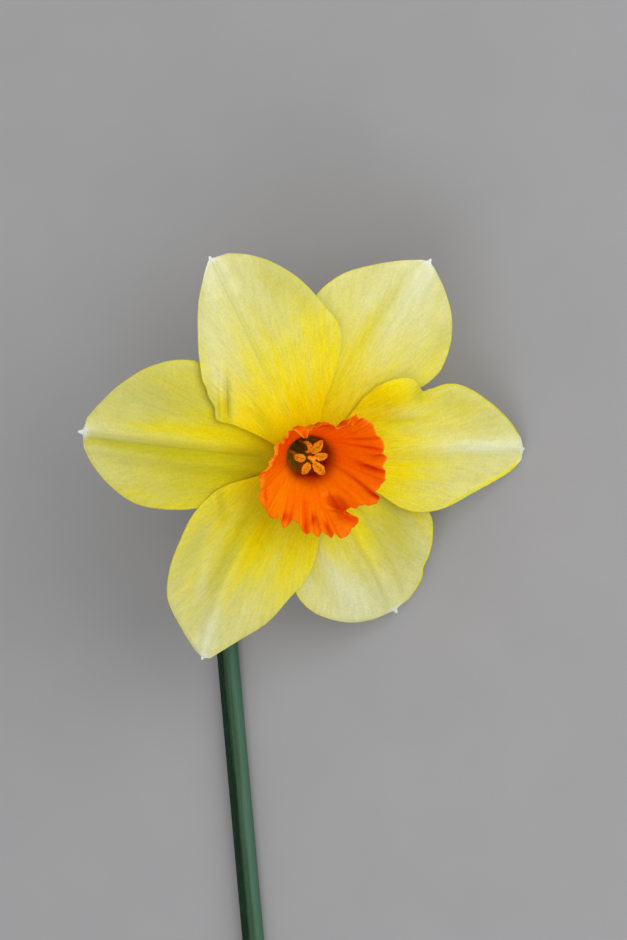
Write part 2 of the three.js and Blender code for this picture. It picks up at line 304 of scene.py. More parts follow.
def rod_surface(
    path: Callable[[float], Vector],
    section: Callable[[float, float], float],
    side: Vector,
    steps: int,
) -> Surface:
    """Makes the surface of a rod along a path.

    Args:
        path: The centre line, from 0 to 1.
        section: The distance from the centre line to the skin at (place, angle in radians).
        side: The direction that angle 0 faces at the start.
        steps: How many places the rod's frame is carried to along the path.

    Returns:
        The surface, along by around.
    """
    frames = []
    normal = side.copy()
    step = 1 / steps
    for i in range(steps + 1):
        t = i / steps
        tangent = (path(min(t + step / 4, 1)) - path(max(t - step / 4, 0))).normalized()
        normal = (normal - tangent * normal.dot(tangent)).normalized()
        frames.append((path(t), normal.copy(), tangent.cross(normal)))

    def surface(a: float, b: float) -> Vector:
        """Reads the skin.

        Args:
            a: The place along the rod, from 0 to 1.
            b: The turn round it, from 0 to 1.

        Returns:
            The skin's point.
        """
        centre, first, second = frames[round(a * steps)]
        angle = 2 * math.pi * b
        radius = section(a, angle)
        return centre + first * (radius * math.cos(angle)) + second * (radius * math.sin(angle))

    return surface


def register(piece: Piece, nodes: Iterable[str], material: bpy.types.Material) -> None:
    """Dresses a finished piece and tells the frame what it stands for.

    Args:
        piece: The finished object.
        nodes: The CAD nodes that it replaces.
        material: The piece's material.
    """
    piece.data.materials.append(material)
    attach(piece, "root")
    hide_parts(*nodes)
    LOG.info("%s: %d faces, replaces %s", piece.name, len(piece.data.polygons), ", ".join(nodes))


# ---- Finishes ----
class Tree:
    """Lays out the nodes of one material."""

    # The sockets of a Mix node that blends two colours.
    SHARE, LOW, HIGH, MIXED = 0, 6, 7, 2

    def __init__(self, name: str) -> None:
        """Starts an empty material with an output.

        Args:
            name: The material's name.
        """
        self.material = bpy.data.materials.new(name)
        self.material.use_nodes = True
        self.nodes = self.material.node_tree.nodes
        self.nodes.clear()
        self.output = self.nodes.new("ShaderNodeOutputMaterial")

    def join(self, source: Socket | float | tuple, target: Socket) -> None:
        """Feeds a socket from another socket, or sets it to a plain value.

        Args:
            source: The socket or the value.
            target: The socket that is fed.
        """
        if isinstance(source, Socket):
            self.material.node_tree.links.new(source, target)
        else:
            target.default_value = source

    def mark(self, name: str) -> Socket:
        """Reads a float attribute of the mesh.

        Args:
            name: The attribute's name.

        Returns:
            Its value.
        """
        node = self.nodes.new("ShaderNodeAttribute")
        node.attribute_name = name
        return node.outputs["Fac"]

    def coordinates(self, kind: str, scale: Colour = (1, 1, 1)) -> Socket:
        """Reads coordinates and scales them.

        Args:
            kind: "UV" or "Object".
            scale: The factors along the three axes.

        Returns:
            The coordinates.
        """
        source = self.nodes.new("ShaderNodeTexCoord")
        mapping = self.nodes.new("ShaderNodeMapping")
        mapping.inputs["Scale"].default_value = scale
        self.join(source.outputs[kind], mapping.inputs["Vector"])
        return mapping.outputs["Vector"]

    def noise(self, vector: Socket, scale: float, detail: float, rough: float = 0.5) -> Socket:
        """Adds a noise pattern.

        Args:
            vector: The coordinates that it is read at.
            scale: How fine it is.
            detail: How many finer layers it has.
            rough: How strong the finer layers are.

        Returns:
            The pattern, from 0 to 1.
        """
        node = self.nodes.new("ShaderNodeTexNoise")
        node.inputs["Scale"].default_value = scale
        node.inputs["Detail"].default_value = detail
        node.inputs["Roughness"].default_value = rough
        self.join(vector, node.inputs["Vector"])
        return node.outputs["Fac"]

    def remap(self, value: Socket, span: tuple[float, float, float, float]) -> Socket:
        """Maps a value to another span, and clamps it.

        Args:
            value: The value.
            span: The two limits that it comes from, and the two that it goes to.

        Returns:
            The mapped value.
        """
        node = self.nodes.new("ShaderNodeMapRange")
        for name, number in zip(("From Min", "From Max", "To Min", "To Max"), span):
            node.inputs[name].default_value = number
        self.join(value, node.inputs["Value"])
        return node.outputs["Result"]

    def math(self, operation: str, first: Socket | float, second: Socket | float) -> Socket:
        """Adds a sum with two numbers.

        Args:
            operation: The math node's operation.
            first: The first number.
            second: The second number.

        Returns:
            The result.
        """
        node = self.nodes.new("ShaderNodeMath")
        node.operation = operation
        self.join(first, node.inputs[0])
        self.join(second, node.inputs[1])
        return node.outputs[0]

    def total(self, first: Socket, *others: Socket) -> Socket:
        """Adds several values up.

        Args:
            first: The first value.
            others: The other values.

        Returns:
            Their total.
        """
        for other in others:
            first = self.math("ADD", first, other)
        return first

    def swing(self, pattern: Socket, amount: float) -> Socket:
        """Returns a noise pattern spread from minus the amount to plus the amount."""
        return self.remap(pattern, (*NOISE_SPAN, -amount, amount))

    def times(self, value: Socket, factor: Socket | float) -> Socket:
        """Returns the product of a value and a factor."""
        return self.math("MULTIPLY", value, factor)

    def blend(self, share: Socket, low: Socket | Colour, high: Socket | Colour) -> Socket:
        """Blends two colours.

        Args:
            share: How far to go from low to high.
            low: The colour at 0.
            high: The colour at 1.

        Returns:
            The blended colour.
        """
        node = self.nodes.new("ShaderNodeMix")
        node.data_type = "RGBA"
        self.join(share, node.inputs[self.SHARE])
        for colour, socket in ((low, node.inputs[self.LOW]), (high, node.inputs[self.HIGH])):
            self.join(colour if isinstance(colour, Socket) else (*colour, 1.0), socket)
        return node.outputs[self.MIXED]

    def ramp(self, value: Socket, stops: Sequence[tuple[float, Colour]]) -> Socket:
        """Reads a colour from a ramp.

        Args:
            value: Where to read it.
            stops: The ramp's places and their colours.

        Returns:
            The colour.
        """
        node = self.nodes.new("ShaderNodeValToRGB")
        elements = node.color_ramp.elements
        while len(elements) < len(stops):
            elements.new(0.5)
        for element, (place, colour) in zip(elements, stops):
            element.position = place
            element.color = (*colour, 1.0)
        self.join(value, node.inputs["Fac"])
        return node.outputs["Color"]

    def stretched(self, across: Socket, along: Socket, scale: tuple[float, float]) -> Socket:
        """Makes flat coordinates of two values.

        Args:
            across: The value across.
            along: The value along.
            scale: The factors across and along.

        Returns:
            The coordinates.
        """
        node = self.nodes.new("ShaderNodeCombineXYZ")
        self.join(self.times(across, scale[0]), node.inputs[0])
        self.join(self.times(along, scale[1]), node.inputs[1])
        return node.outputs[0]

    def shade(self, colour: Socket, value: Socket) -> Socket:
        """Makes a colour lighter or darker.

        Args:
            colour: The colour.
            value: The factor, near 1.

        Returns:
            The shaded colour.
        """
        node = self.nodes.new("ShaderNodeMix")
        node.data_type = "RGBA"
        node.blend_type = "MULTIPLY"
        node.inputs[self.SHARE].default_value = 1.0
        self.join(colour, node.inputs[self.LOW])
        self.join(value, node.inputs[self.HIGH])
        return node.outputs[self.MIXED]

    def bump(self, height: Socket, distance: float, strength: float) -> Socket:
        """Bends the normal by a height pattern.

        Args:
            height: The pattern.
            distance: Its depth in millimetres.
            strength: How far the normal is bent.

        Returns:
            The bent normal.
        """
        node = self.nodes.new("ShaderNodeBump")
        node.inputs["Strength"].default_value = strength
        node.inputs["Distance"].default_value = distance * MM
        self.join(height, node.inputs["Height"])
        return node.outputs["Normal"]

    def skin(
        self,
        colour: Socket,
        normal: Socket,
        roughness: Socket | float,
        specular: float,
        glow: float,
    ) -> bpy.types.Material:
        """Finishes the material as plant skin, part of whose light passes through.

        Args:
            colour: The surface's colour.
            normal: The bumped normal.
            roughness: The roughness, plain or patterned.
            specular: The specular level.
            glow: The share of light that passes through, from 0 to 1.

        Returns:
            The finished material.
        """
        shader = self.nodes.new("ShaderNodeBsdfPrincipled")
        self.join(colour, shader.inputs["Base Color"])
        self.join(normal, shader.inputs["Normal"])
        self.join(roughness, shader.inputs["Roughness"])
        shader.inputs["Specular IOR Level"].default_value = specular
        surface = shader.outputs[0]
        if glow > 0:
            through = self.nodes.new("ShaderNodeBsdfTranslucent")
            self.join(colour, through.inputs["Color"])
            self.join(normal, through.inputs["Normal"])
            both = self.nodes.new("ShaderNodeMixShader")
            both.inputs[0].default_value = glow
            self.join(surface, both.inputs[1])
            self.join(through.outputs[0], both.inputs[2])
            surface = both.outputs[0]
        self.join(surface, self.output.inputs["Surface"])
        return self.material


@dataclass(frozen=True)
class TepalFinish:
    """Skin that runs in streaks from gold at the throat to pale lemon, with a bright margin; its olive is
    partly painted shade, its cream and fuller yellow partly painted light, and its curled margins a painted
    glow.
    """

    name: str
    reach: float = 1.0
    stops: tuple[float, ...] = (0.24, 0.38, 0.56, 0.78, 1.0)
    gold: Colour = (0.94, 0.76, 0.0)
    bright: Colour = (0.92, 0.80, 0.020)
    lemon: Colour = (0.85, 0.775, 0.095)
    pale: Colour = (0.79, 0.755, 0.24)
    far: Colour = (0.79, 0.775, 0.36)
    # The margin's yellow, which in the curls is a painted glow of light through the rolled edge.
    margin: Colour = (0.84, 0.79, 0.06)
    # Olive tint, also used for painted shade in hollows and along grooves.
    olive_and_shade: Colour = (0.54, 0.50, 0.006)
    vein: Colour = (0.66, 0.53, 0.0)
    grey: Colour = (0.58, 0.60, 0.26)
    # Cream, also used for painted highlights on lit ridges and near the tip.
    cream_and_highlight: Colour = (0.85, 0.86, 0.56)
    white: Colour = (0.86, 0.90, 0.86)

    def build(self) -> bpy.types.Material:
        """Makes the material.

        Returns:
            The finished material.
        """
        tree = Tree(self.name)
        fan, along = tree.mark("fan"), tree.mark("along")
        broad = tree.noise(tree.coordinates("UV", (11, 0.9, 1)), 1.0, 2.0, 0.5)
        streaks = tree.noise(tree.stretched(fan, along, (14, 0.9)), 1.0, 3.0, 0.6)
        wrinkles = tree.noise(tree.stretched(fan, along, (30, 2.6)), 1.0, 2.0, 0.6)
        veins = tree.noise(tree.stretched(fan, along, (62, 2.4)), 1.0, 2.0, 0.5)
        cloud = tree.noise(tree.coordinates("UV", (3.4, 2.6, 1)), 1.0, 3.0, 0.6)
        mottle = tree.noise(tree.coordinates("Object"), 420, 3.0, 0.6)
        cells = tree.noise(tree.coordinates("Object"), 1900, 2.0, 0.6)
        swings = ((broad, 0.06), (streaks, 0.065), (cloud, 0.07), (mottle, 0.03))
        spread = tree.total(*(tree.swing(pattern, amount) for pattern, amount in swings))
        place = tree.total(tree.times(tree.mark("reach"), self.reach), spread)
        # The lemon mark pulls the ramp towards gold: partly the skin's fuller yellow, partly painted light on
        # lit ridges and glowing curled lobes.
        place = tree.math("SUBTRACT", place, tree.times(tree.mark("lemon"), 0.22))
        colours = (self.gold, self.bright, self.lemon, self.pale, self.far)
        colour = tree.ramp(place, tuple(zip(self.stops, colours)))
        # The margin's yellow is a painted glow where it curls, the ribs' cream is partly a painted highlight,
        # and the olive is partly painted shade.
        tints = {"margin": self.margin, "rib": self.cream_and_highlight, "olive_and_shade": self.olive_and_shade, "grey": self.grey}
        for mark, tint in tints.items():
            colour = tree.blend(tree.mark(mark), colour, tint)
        dark = tree.times(tree.remap(veins, (0.50, 0.74, 0.0, 1.0)), tree.mark("vein"))
        colour = tree.blend(dark, colour, self.vein)
        colour = tree.shade(colour, tree.remap(wrinkles, (*NOISE_SPAN, 0.94, 1.04)))
        colour = tree.shade(colour, tree.remap(cells, (0.40, 0.75, 1.02, 0.92)))
        colour = tree.blend(tree.mark("tip"), colour, self.white)
        relief = tree.total(wrinkles, tree.times(veins, 0.5), tree.times(cells, 0.25))
        return tree.skin(colour, tree.bump(relief, 0.12, 0.8), 0.55, 0.04, 0.34)


@dataclass(frozen=True)
class CoronaFinish:
    """Orange skin with radial streaks and a paler rim, redder in its folds, on the upper right and in the
    throat, partly its own colour and partly painted shade, with painted highlights on small folds.
    """

    orange: Colour = (0.96, 0.27, 0.0)
    amber: Colour = (0.97, 0.35, 0.0)
    # The skin's red, also used for painted shade in the folds and on the upper right.
    red: Colour = (1.0, 0.105, 0.0)
    # Dark red painted shade at the foot of the cup.
    throat: Colour = (0.60, 0.040, 0.0)
    # Darker red painted shade in the puckers, also the thin line on the lower rim.
    deep: Colour = (0.78, 0.040, 0.002)
    # The paler rim, also used for painted highlights on small folds.
    rim: Colour = (1.0, 0.36, 0.02)

    def build(self) -> bpy.types.Material:
        """Makes the material.

        Returns:
            The finished material.
        """
        tree = Tree("corona_skin")
        broad = tree.noise(tree.coordinates("UV", (20, 1.1, 1)), 1.0, 2.0, 0.5)
        streaks = tree.noise(tree.coordinates("UV", (46, 2.0, 1)), 1.0, 3.0, 0.6)
        fine = tree.noise(tree.coordinates("UV", (150, 8, 1)), 1.0, 2.0, 0.5)
        cells = tree.noise(tree.coordinates("Object"), 1400, 3.0, 0.65)
        colour = tree.blend(tree.remap(broad, (0.35, 0.65, 0.0, 1.0)), self.orange, self.amber)
        colour = tree.blend(tree.mark("red"), colour, self.red)
        colour = tree.blend(tree.remap(streaks, (0.42, 0.7, 0.0, 0.28)), colour, self.red)
        colour = tree.blend(tree.remap(fine, (0.5, 0.75, 0.0, 0.22)), colour, self.amber)
        colour = tree.blend(tree.mark("rim"), colour, self.rim)
        colour = tree.blend(tree.mark("deep"), colour, self.deep)
        colour = tree.blend(tree.mark("throat"), colour, self.throat)
        colour = tree.shade(colour, tree.remap(cells, (0.35, 0.7, 1.08, 0.95)))
        relief = tree.total(streaks, tree.times(fine, 0.4), tree.times(cells, 0.5))
        return tree.skin(colour, tree.bump(relief, 0.12, 0.8), 0.45, 0.08, 0.42)


@dataclass(frozen=True)
class StemFinish:
    """Waxy blue-green skin with fine ribs, pale at the cut, with painted shade on the flank beside the keel
    that is turned from the light, and a painted lit side opposite.
    """

    # dark and light are the painted shade and the painted lit side of the scape.
    dark: Colour = (0.003, 0.020, 0.007)
    green: Colour = (0.022, 0.058, 0.026)
    light: Colour = (0.048, 0.110, 0.070)
    bloom: Colour = (0.12, 0.19, 0.15)
    young: Colour = (0.20, 0.27, 0.05)
    cut: Colour = (0.36, 0.45, 0.22)

    def build(self) -> bpy.types.Material:
        """Makes the material.

        Returns:
            The finished material.
        """
        tree = Tree("stem_skin")
        ribs = tree.noise(tree.coordinates("UV", (44, 5, 1)), 1.0, 2.0, 0.5)
        cloud = tree.noise(tree.coordinates("Object", (1, 0.12, 1)), 300, 3.0)
        wax = tree.noise(tree.coordinates("Object", (1, 0.5, 1)), 900, 3.0, 0.7)
        shaded_flank = tree.total(tree.mark("shaded_flank"), tree.swing(cloud, 0.08), tree.swing(ribs, 0.07))
        stops = ((0.42, self.dark), (0.52, self.green), (0.70, self.green), (0.86, self.light))
        colour = tree.ramp(shaded_flank, stops)
        colour = tree.blend(tree.remap(wax, (0.5, 0.8, 0.0, 0.14)), colour, self.bloom)
        colour = tree.blend(tree.mark("young"), colour, self.young)
        colour = tree.blend(tree.mark("cut"), colour, self.cut)
        return tree.skin(colour, tree.bump(ribs, 0.12, 0.7), 0.5, 0.12, 0.0)


@dataclass(frozen=True)
class TubeFinish:
    """Skin of the flower tube: green over the ovary, yellow at the tepals, dark inside, and red at the lip,
    where it is painted shade on the lower right.
    """

    green: Colour = (0.10, 0.19, 0.035)
    yellow: Colour = (0.62, 0.58, 0.08)
    # Dark red painted shade on the lower right of the lip.
    shaded_lip: Colour = (0.42, 0.030, 0.0)
    inside: Colour = (0.58, 0.50, 0.03)
    brown: Colour = (0.34, 0.16, 0.02)

    def build(self) -> bpy.types.Material:
        """Makes the material.

        Returns:
            The finished material.
        """
        tree = Tree("flower_tube_skin")
        streaks = tree.noise(tree.coordinates("UV", (36, 3, 1)), 1.0, 3.0, 0.5)
        colour = tree.blend(tree.mark("yellow"), self.green, self.yellow)
        colour = tree.blend(tree.remap(streaks, (0.5, 0.75, 0.0, 0.5)), colour, self.green)
        flesh = tree.blend(tree.remap(streaks, (0.40, 0.65, 0.0, 0.7)), self.inside, self.brown)
        colour = tree.blend(tree.mark("inside"), colour, flesh)
        colour = tree.blend(tree.mark("shaded_lip"), colour, self.shaded_lip)
        return tree.skin(colour, tree.bump(streaks, 0.08, 0.6), 0.5, 0.15, 0.0)


@dataclass(frozen=True)
class PollenFinish:
    """Granular anther: yellow pollen on the faces and paler orange edges to the sacs."""

    pollen: Colour = (0.74, 0.30, 0.002)
    grain: Colour = (0.44, 0.13, 0.0)
    edge: Colour = (0.86, 0.33, 0.014)

    def build(self) -> bpy.types.Material:
        """Makes the material.

        Returns:
            The finished material.
        """
        tree = Tree("anther_pollen")
        grains = tree.noise(tree.coordinates("Object"), 2300, 2.0, 0.7)
        colour = tree.blend(tree.remap(grains, (0.42, 0.62, 0.0, 1.0)), self.grain, self.pollen)
        colour = tree.blend(tree.mark("edge"), colour, self.edge)
        return tree.skin(colour, tree.bump(grains, 0.12, 1.0), 0.85, 0.06, 0.0)


@dataclass(frozen=True)
class FleshFinish:
    """Plain moist tissue of a filament or of the pistil, mottled along its length."""

    name: str
    foot: Colour
    head: Colour

    def build(self) -> bpy.types.Material:
        """Makes the material.

        Returns:
            The finished material.
        """
        tree = Tree(self.name)
        mottle = tree.noise(tree.coordinates("Object"), 1500, 2.0, 0.6)
        colour = tree.blend(tree.mark("rise"), self.foot, self.head)
        colour = tree.blend(tree.remap(mottle, (0.5, 0.8, 0.0, 0.5)), colour, self.foot)
        return tree.skin(colour, tree.bump(mottle, 0.05, 0.8), 0.5, 0.35, 0.0)


@dataclass(frozen=True)
class PaperFinish:
    """Dry translucent membrane of the spathe, with brown veins along it."""

    pale: Colour = (0.50, 0.38, 0.20)
    brown: Colour = (0.22, 0.13, 0.05)

    def build(self) -> bpy.types.Material:
        """Makes the material.

        Returns:
            The finished material.
        """
        tree = Tree("spathe_paper")
        veins = tree.noise(tree.coordinates("UV", (28, 1.5, 1)), 1.0, 4.0, 0.65)
        creases = tree.noise(tree.coordinates("Object"), 420, 4.0, 0.6)
        colour = tree.blend(tree.remap(veins, (0.4, 0.7, 0.0, 1.0)), self.pale, self.brown)
        return tree.skin(colour, tree.bump(tree.total(veins, creases), 0.2, 0.8), 0.7, 0.2, 0.35)


# ---- Tepals ----
@dataclass(frozen=True)
class Swell:
    """A soft rise or dent of a blade.

    s runs from the root to the tip, w across it to the left, and skew slides the rise across as s grows.
    """

    s: float
    w: float
    long: float
    wide: float
    lift: float
    skew: float = 0.0

    def height(self, s: float, w: float) -> float:
        """Returns the rise at a place of the blade."""
        drift = self.w + self.skew * (s - self.s)
        return self.lift * bell(s - self.s, self.long) * bell(w - drift, self.wide)


def rises(spots: Iterable[Swell], s: float, w: float) -> float:
    """Returns the sum of several rises at a place of the blade, leaving out dents."""
    return sum(max(0.0, spot.height(s, w)) for spot in spots)


@dataclass(frozen=True)
class Rib:
    """A ridge or groove along a blade, and how pale it is. bow carries its middle to the left. A pale above 0
    paints cream, partly a painted highlight on a lit ridge; below 0 it paints olive, painted shade along a
    groove.
    """

    w: float
    bow: float
    wide: float
    lift: float
    start: float
    end: float
    pale: float = 0.0

    def share(self, s: float, w: float) -> float:
        """Returns how near a place is to the rib's line, from 0 to 1."""
        line = self.w + 4 * self.bow * s * (1 - s)
        return bell(w - line, self.wide) * window(s, self.start, self.end, 0.12)


@dataclass(frozen=True)
class Curl:
    """A margin that turns up towards the front over part of its length."""

    side: Side
    start: float
    end: float
    wide: float
    lift: float

    def share(self, s: float, u: float, half: float) -> float:
        """Tells how far into the curl a place lies.

        Args:
            s: The place along the blade.
            u: The share across it, from -1 on the right to 1 on the left.
            half: The half-width there.

        Returns:
            The share, from 0 to 1.
        """
        if u * self.side.value <= 0:
            return 0.0
        inset = half * (1 - abs(u))
        return max(0.0, 1 - inset / self.wide) * window(s, self.start, self.end, 0.08)


@dataclass(frozen=True)
class Nick:
    """A short dip in a margin: on which side, where along it, how long and how deep."""

    side: Side
    s: float
    long: float
    depth: float

    def dip(self, s: float, side: Side) -> float:
        """Returns how much narrower the blade is there."""
        return self.depth * bell(s - self.s, self.long) if side is self.side else 0.0


@dataclass(frozen=True)
class Tepal:
    """One tepal: its root's bearing, its tip in the bloom's frame, and its outline, relief and colours.

    left and right are half-widths at even steps from root to tip. Ribs, swells and curls shape the blade,
    nicks cut into its margin, and the green, lemon, grey and cream spots are where it takes those colours:
    the green is partly painted shade, the lemon partly painted light on lit ridges and curled lobes, and the
    cream partly a painted highlight. mucro is how far its small point stands out, and frost how white the
    edges beside the point are.
    """

    node: str
    piece: str
    bearing: float
    whorl: Whorl
    tip: tuple[float, float, float]
    left: tuple[float, ...]
    right: tuple[float, ...]
    arch: float
    cup: tuple[float, float]
    twist: float
    wave: float
    seed: float
    ribs: tuple[Rib, ...] = ()
    swells: tuple[Swell, ...] = ()
    curls: tuple[Curl, ...] = ()
    nicks: tuple[Nick, ...] = ()
    greens_and_shade: tuple[Swell, ...] = ()
    lemons_and_painted_light: tuple[Swell, ...] = ()
    greys: tuple[Swell, ...] = ()
    creams_and_highlights: tuple[Swell, ...] = ()
    reach: float = 1.0
    # Painted shade over the whole blade, for a tepal that is turned from the light.
    overall_shade: float = 0.0
    mucro: float = 0.7
    frost: float = 0.85

    ROOT_RADIUS = 6.1
    ROOT_HALF = 4.4
    TIP_HALF = 0.10
    THICKNESS = 0.5
    REACH = 50
    VEIN_SPREAD = 1.5
    ROWS = 150
    COLUMNS = 116

    def station(self, v: float) -> float:
        """Returns the place along the blade of a grid row; rows crowd towards the tip."""
        return 1.5 * v - 0.5 * v**3

    def half(self, v: float, side: Side) -> float:
        """Works out how wide one side is.

        Args:
            v: The grid row, from 0 to 1.
            side: The side.

        Returns:
            The half-width in millimetres.
        """
        samples = self.left if side is Side.LEFT else self.right
        width = spline((self.ROOT_HALF, *samples, self.TIP_HALF), v)
        ripple = 0.10 * grain(v * 9, side.value, self.seed) + 0.05 * grain(v * 31, side.value, self.seed + 1)
        s = self.station(v)
        width -= sum(nick.dip(s, side) for nick in self.nicks)
        blunt = max(self.TIP_HALF, width + ripple * math.sin(math.pi * v))
        point = (1 - s) * Vector(self.tip).length
        cone = min(blunt, self.TIP_HALF + 0.4 * point)
        return mix(cone, blunt, smooth(self.mucro * 0.7, self.mucro * 0.7 + 0.8, point))

    def root(self, axis: Vector) -> Vector:
        """Works out where the blade is rooted.

        Args:
            axis: The corona's axis.

        Returns:
            The middle of the root, in the bloom's frame.
        """
        bearing = math.radians(self.bearing)
        outward = Vector((math.cos(bearing), math.sin(bearing), 0))
        outward.z = -(axis.x * outward.x + axis.y * outward.y) / axis.z
        return outward.normalized() * self.ROOT_RADIUS + axis * self.whorl.value

    def place(self, a: float, b: float) -> tuple[float, float, float, float]:
        """Finds a grid point's place on the blade.

        Args:
            a: The place from root to tip, from 0 to 1.
            b: The place from left to right, from 0 to 1.

        Returns:
            The place along, the share across, the distance across and the half-width.
        """
        u = 1 - 2 * b
        half = self.half(a, Side.LEFT if u > 0 else Side.RIGHT)
        return self.station(a), u, u * half, half

    def across_veins(self, s: float, w: float) -> float:
        """Returns where a place lies across the veins, which spread from the rib towards the margins."""
        return w * math.exp(-self.VEIN_SPREAD * s)

    def relief(self, s: float, u: float, w: float, half: float) -> float:
        """Works out the height of the blade's own shape over its plane.

        Args:
            s: The place along the blade.
            u: The share across it, from -1 on the right to 1 on the left.
            w: The distance across in millimetres, to the left.
            half: The half-width there.

        Returns:
            The height in millimetres.
        """
        widest = (max(self.left) + max(self.right)) / 2
        opening = math.sin(math.pi * min(1.0, s * 1.6) / 2)
        cup = self.cup[0] if u > 0 else self.cup[1]
        height = cup * opening * (w / widest) ** 2
        height += self.wave * opening * u**4 * math.sin(9 * s + 4 * (1 if u > 0 else -1))
        height += sum(rib.lift * rib.share(s, w) for rib in self.ribs)
        height += sum(swell.height(s, w) for swell in self.swells)
        height += sum(curl.lift * curl.share(s, u, half) ** 2 for curl in self.curls)
        fade = 1 - smooth(0.8, 1.0, s)
        height += 0.30 * opening * fade * grain(u * 1.7, s * 2.3, self.seed + 2)
        fan = self.across_veins(s, w)
        height += 0.14 * opening * grain(fan * 0.55, s * 1.8, self.seed + 3)
        pleats = mix(0.12, 0.05, smooth(0.0, 0.6, s))
        height += pleats * opening * grain(fan * 1.8, s * 2.6, self.seed + 4)
        return height

    def surface(self, axis: Vector) -> Surface:
        """Makes the middle surface of the blade.

        Args:
            axis: The corona's axis.

        Returns:
            The surface, in the bloom's frame.
        """
        root, tip = self.root(axis), Vector(self.tip) * (1 + 0.6 * self.mucro / Vector(self.tip).length)
        along = Vector((tip.x - root.x, tip.y - root.y)).normalized()
        leftward = Vector((-along.y, along.x))
        slope = -(axis.x * leftward.x + axis.y * leftward.y) / axis.z

        def point(a: float, b: float) -> Vector:
            """Reads the surface.

            Args:
                a: The place from root to tip, from 0 to 1.
                b: The place from left to right, from 0 to 1.

            Returns:
                The blade's point.
            """
            s, u, w, half = self.place(a, b)
            flat = root.lerp(tip, s)
            height = flat.z + 4 * self.arch * s * (1 - s) + (slope + self.twist * s) * w
            height += self.relief(s, u, w, half)
            wrap = min(abs(w), self.ROOT_HALF) ** 2 / (1.7 * self.ROOT_RADIUS) * bell(s, 0.09)
            place = flat.xy + leftward * w - along * wrap
            return Vector((place.x, place.y, height))

        return point

    def margin(self, a: float, b: float) -> float:
        """Tells how strong the margin's yellow is: the skin's own along the very edge, and in the curls a
        painted glow of light through the rolled margin.

        Args:
            a: The place from root to tip, from 0 to 1.
            b: The place from left to right, from 0 to 1.

        Returns:
            The strength, from 0 to 1.
        """
        s, u, _, half = self.place(a, b)
        edge = bell(half * (1 - abs(u)), 0.45) * smooth(0.1, 0.3, s) * 0.6
        painted_curl_glow = max((curl.share(s, u, half) for curl in self.curls), default=0.0)
        return max(edge, smooth(0.1, 0.6, painted_curl_glow))

    def paleness_and_highlight(self, a: float, b: float) -> float:
        """Tells how creamy the skin is, partly its own paleness and partly a painted highlight on lit ridges
        and
        near the tip: along the pale ribs, more towards the tip, and in patches.

        Args:
            a: The place from root to tip, from 0 to 1.
            b: The place from left to right, from 0 to 1.

        Returns:
            The strength, from 0 to 1.
        """
        s, _, w, _ = self.place(a, b)
        pale = sum(max(0.0, rib.pale) * rib.share(s, w) * smooth(rib.start, 1.0, s) for rib in self.ribs)
        return min(0.9, pale + rises(self.creams_and_highlights, s, w))

    def greenness_and_shade(self, a: float, b: float) -> float:
        """Tells how greenish the skin is, partly its own tint and partly painted shade: in the hollows, along
        the grooves, and over a whole tepal that is turned from the light.

        Args:
            a: The place from root to tip, from 0 to 1.
            b: The place from left to right, from 0 to 1.

        Returns:
            The strength, from 0 to 1.
        """
        s, _, w, _ = self.place(a, b)
        lines = sum(max(0.0, -rib.pale) * rib.share(s, w) for rib in self.ribs)
        return min(0.85, self.overall_shade + rises(self.greens_and_shade, s, w) + lines)

    def greyness(self, a: float, b: float) -> float:
        """Returns how thin and greyish the skin is."""
        s, _, w, _ = self.place(a, b)
        return min(0.9, rises(self.greys, s, w))

    def fullness_and_painted_light(self, a: float, b: float) -> float:
        """Returns how much fuller the yellow is than its distance from the throat makes it: partly the skin's
        own, partly painted light on lit ridges and on curled lobes that glow.
        """
        s, _, w, _ = self.place(a, b)
        return min(1.0, rises(self.lemons_and_painted_light, s, w))

    def vein(self, a: float, _b: float) -> float:
        """Returns how dark the veins are, which is most near the throat."""
        return mix(0.55, 0.14, smooth(0.15, 0.6, self.station(a)))

    def whiteness(self, a: float, b: float, away: float) -> float:
        """Tells how white the skin is: on the point, and a little way along the edges beside it.

        Args:
            a: The place from root to tip, from 0 to 1.
            b: The place from left to right, from 0 to 1.
            away: The distance from the very point in millimetres.

        Returns:
            The strength, from 0 to 1.
        """
        _, u, _, half = self.place(a, b)
        beside = self.frost * smooth(5.0, 2.2, away) * bell(half * (1 - abs(u)), 0.5)
        return max(smooth(self.mucro + 1.5, self.mucro * 0.6, away), beside)

    def fan(self, a: float, b: float) -> float:
        """Returns where a place lies across the veins, in centimetres."""
        s, _, w, _ = self.place(a, b)
        return self.across_veins(s, w) / 10

    def along(self, a: float, b: float) -> float:
        """Returns the distance from the root in centimetres, in a layer of its own for each half."""
        s, _, w, _ = self.place(a, b)
        return 4.5 * s + 20 * self.seed + 3 * smooth(-0.6, 0.6, w)

    def body(self, a: float, b: float) -> float:
        """Returns the share of the full thickness: all of it inside, less along the margin."""
        _, u, _, half = self.place(a, b)
        return smooth(0.0, 1.6, half * (1 - abs(u)))

    def marks(self, point: Surface) -> dict[str, Mark]:
        """Lists the colour marks of the blade.

        Args:
            point: The blade's surface.

        Returns:
            The marks by name.
        """
        end = point(1.0, 0.5)

        def reach(a: float, b: float) -> float:
            """Returns the distance from the throat, as a share of the usual reach."""
            return point(a, b).length / self.REACH

        def tip(a: float, b: float) -> float:
            """Returns how white the skin is, from how far it is from the very point."""
            return self.whiteness(a, b, (point(a, b) - end).length)

        return {
            "reach": reach, "margin": self.margin, "rib": self.paleness_and_highlight, "olive_and_shade": self.greenness_and_shade,
            "grey": self.greyness, "lemon": self.fullness_and_painted_light, "vein": self.vein, "tip": tip,
            "fan": self.fan, "along": self.along, "body": self.body,
        }

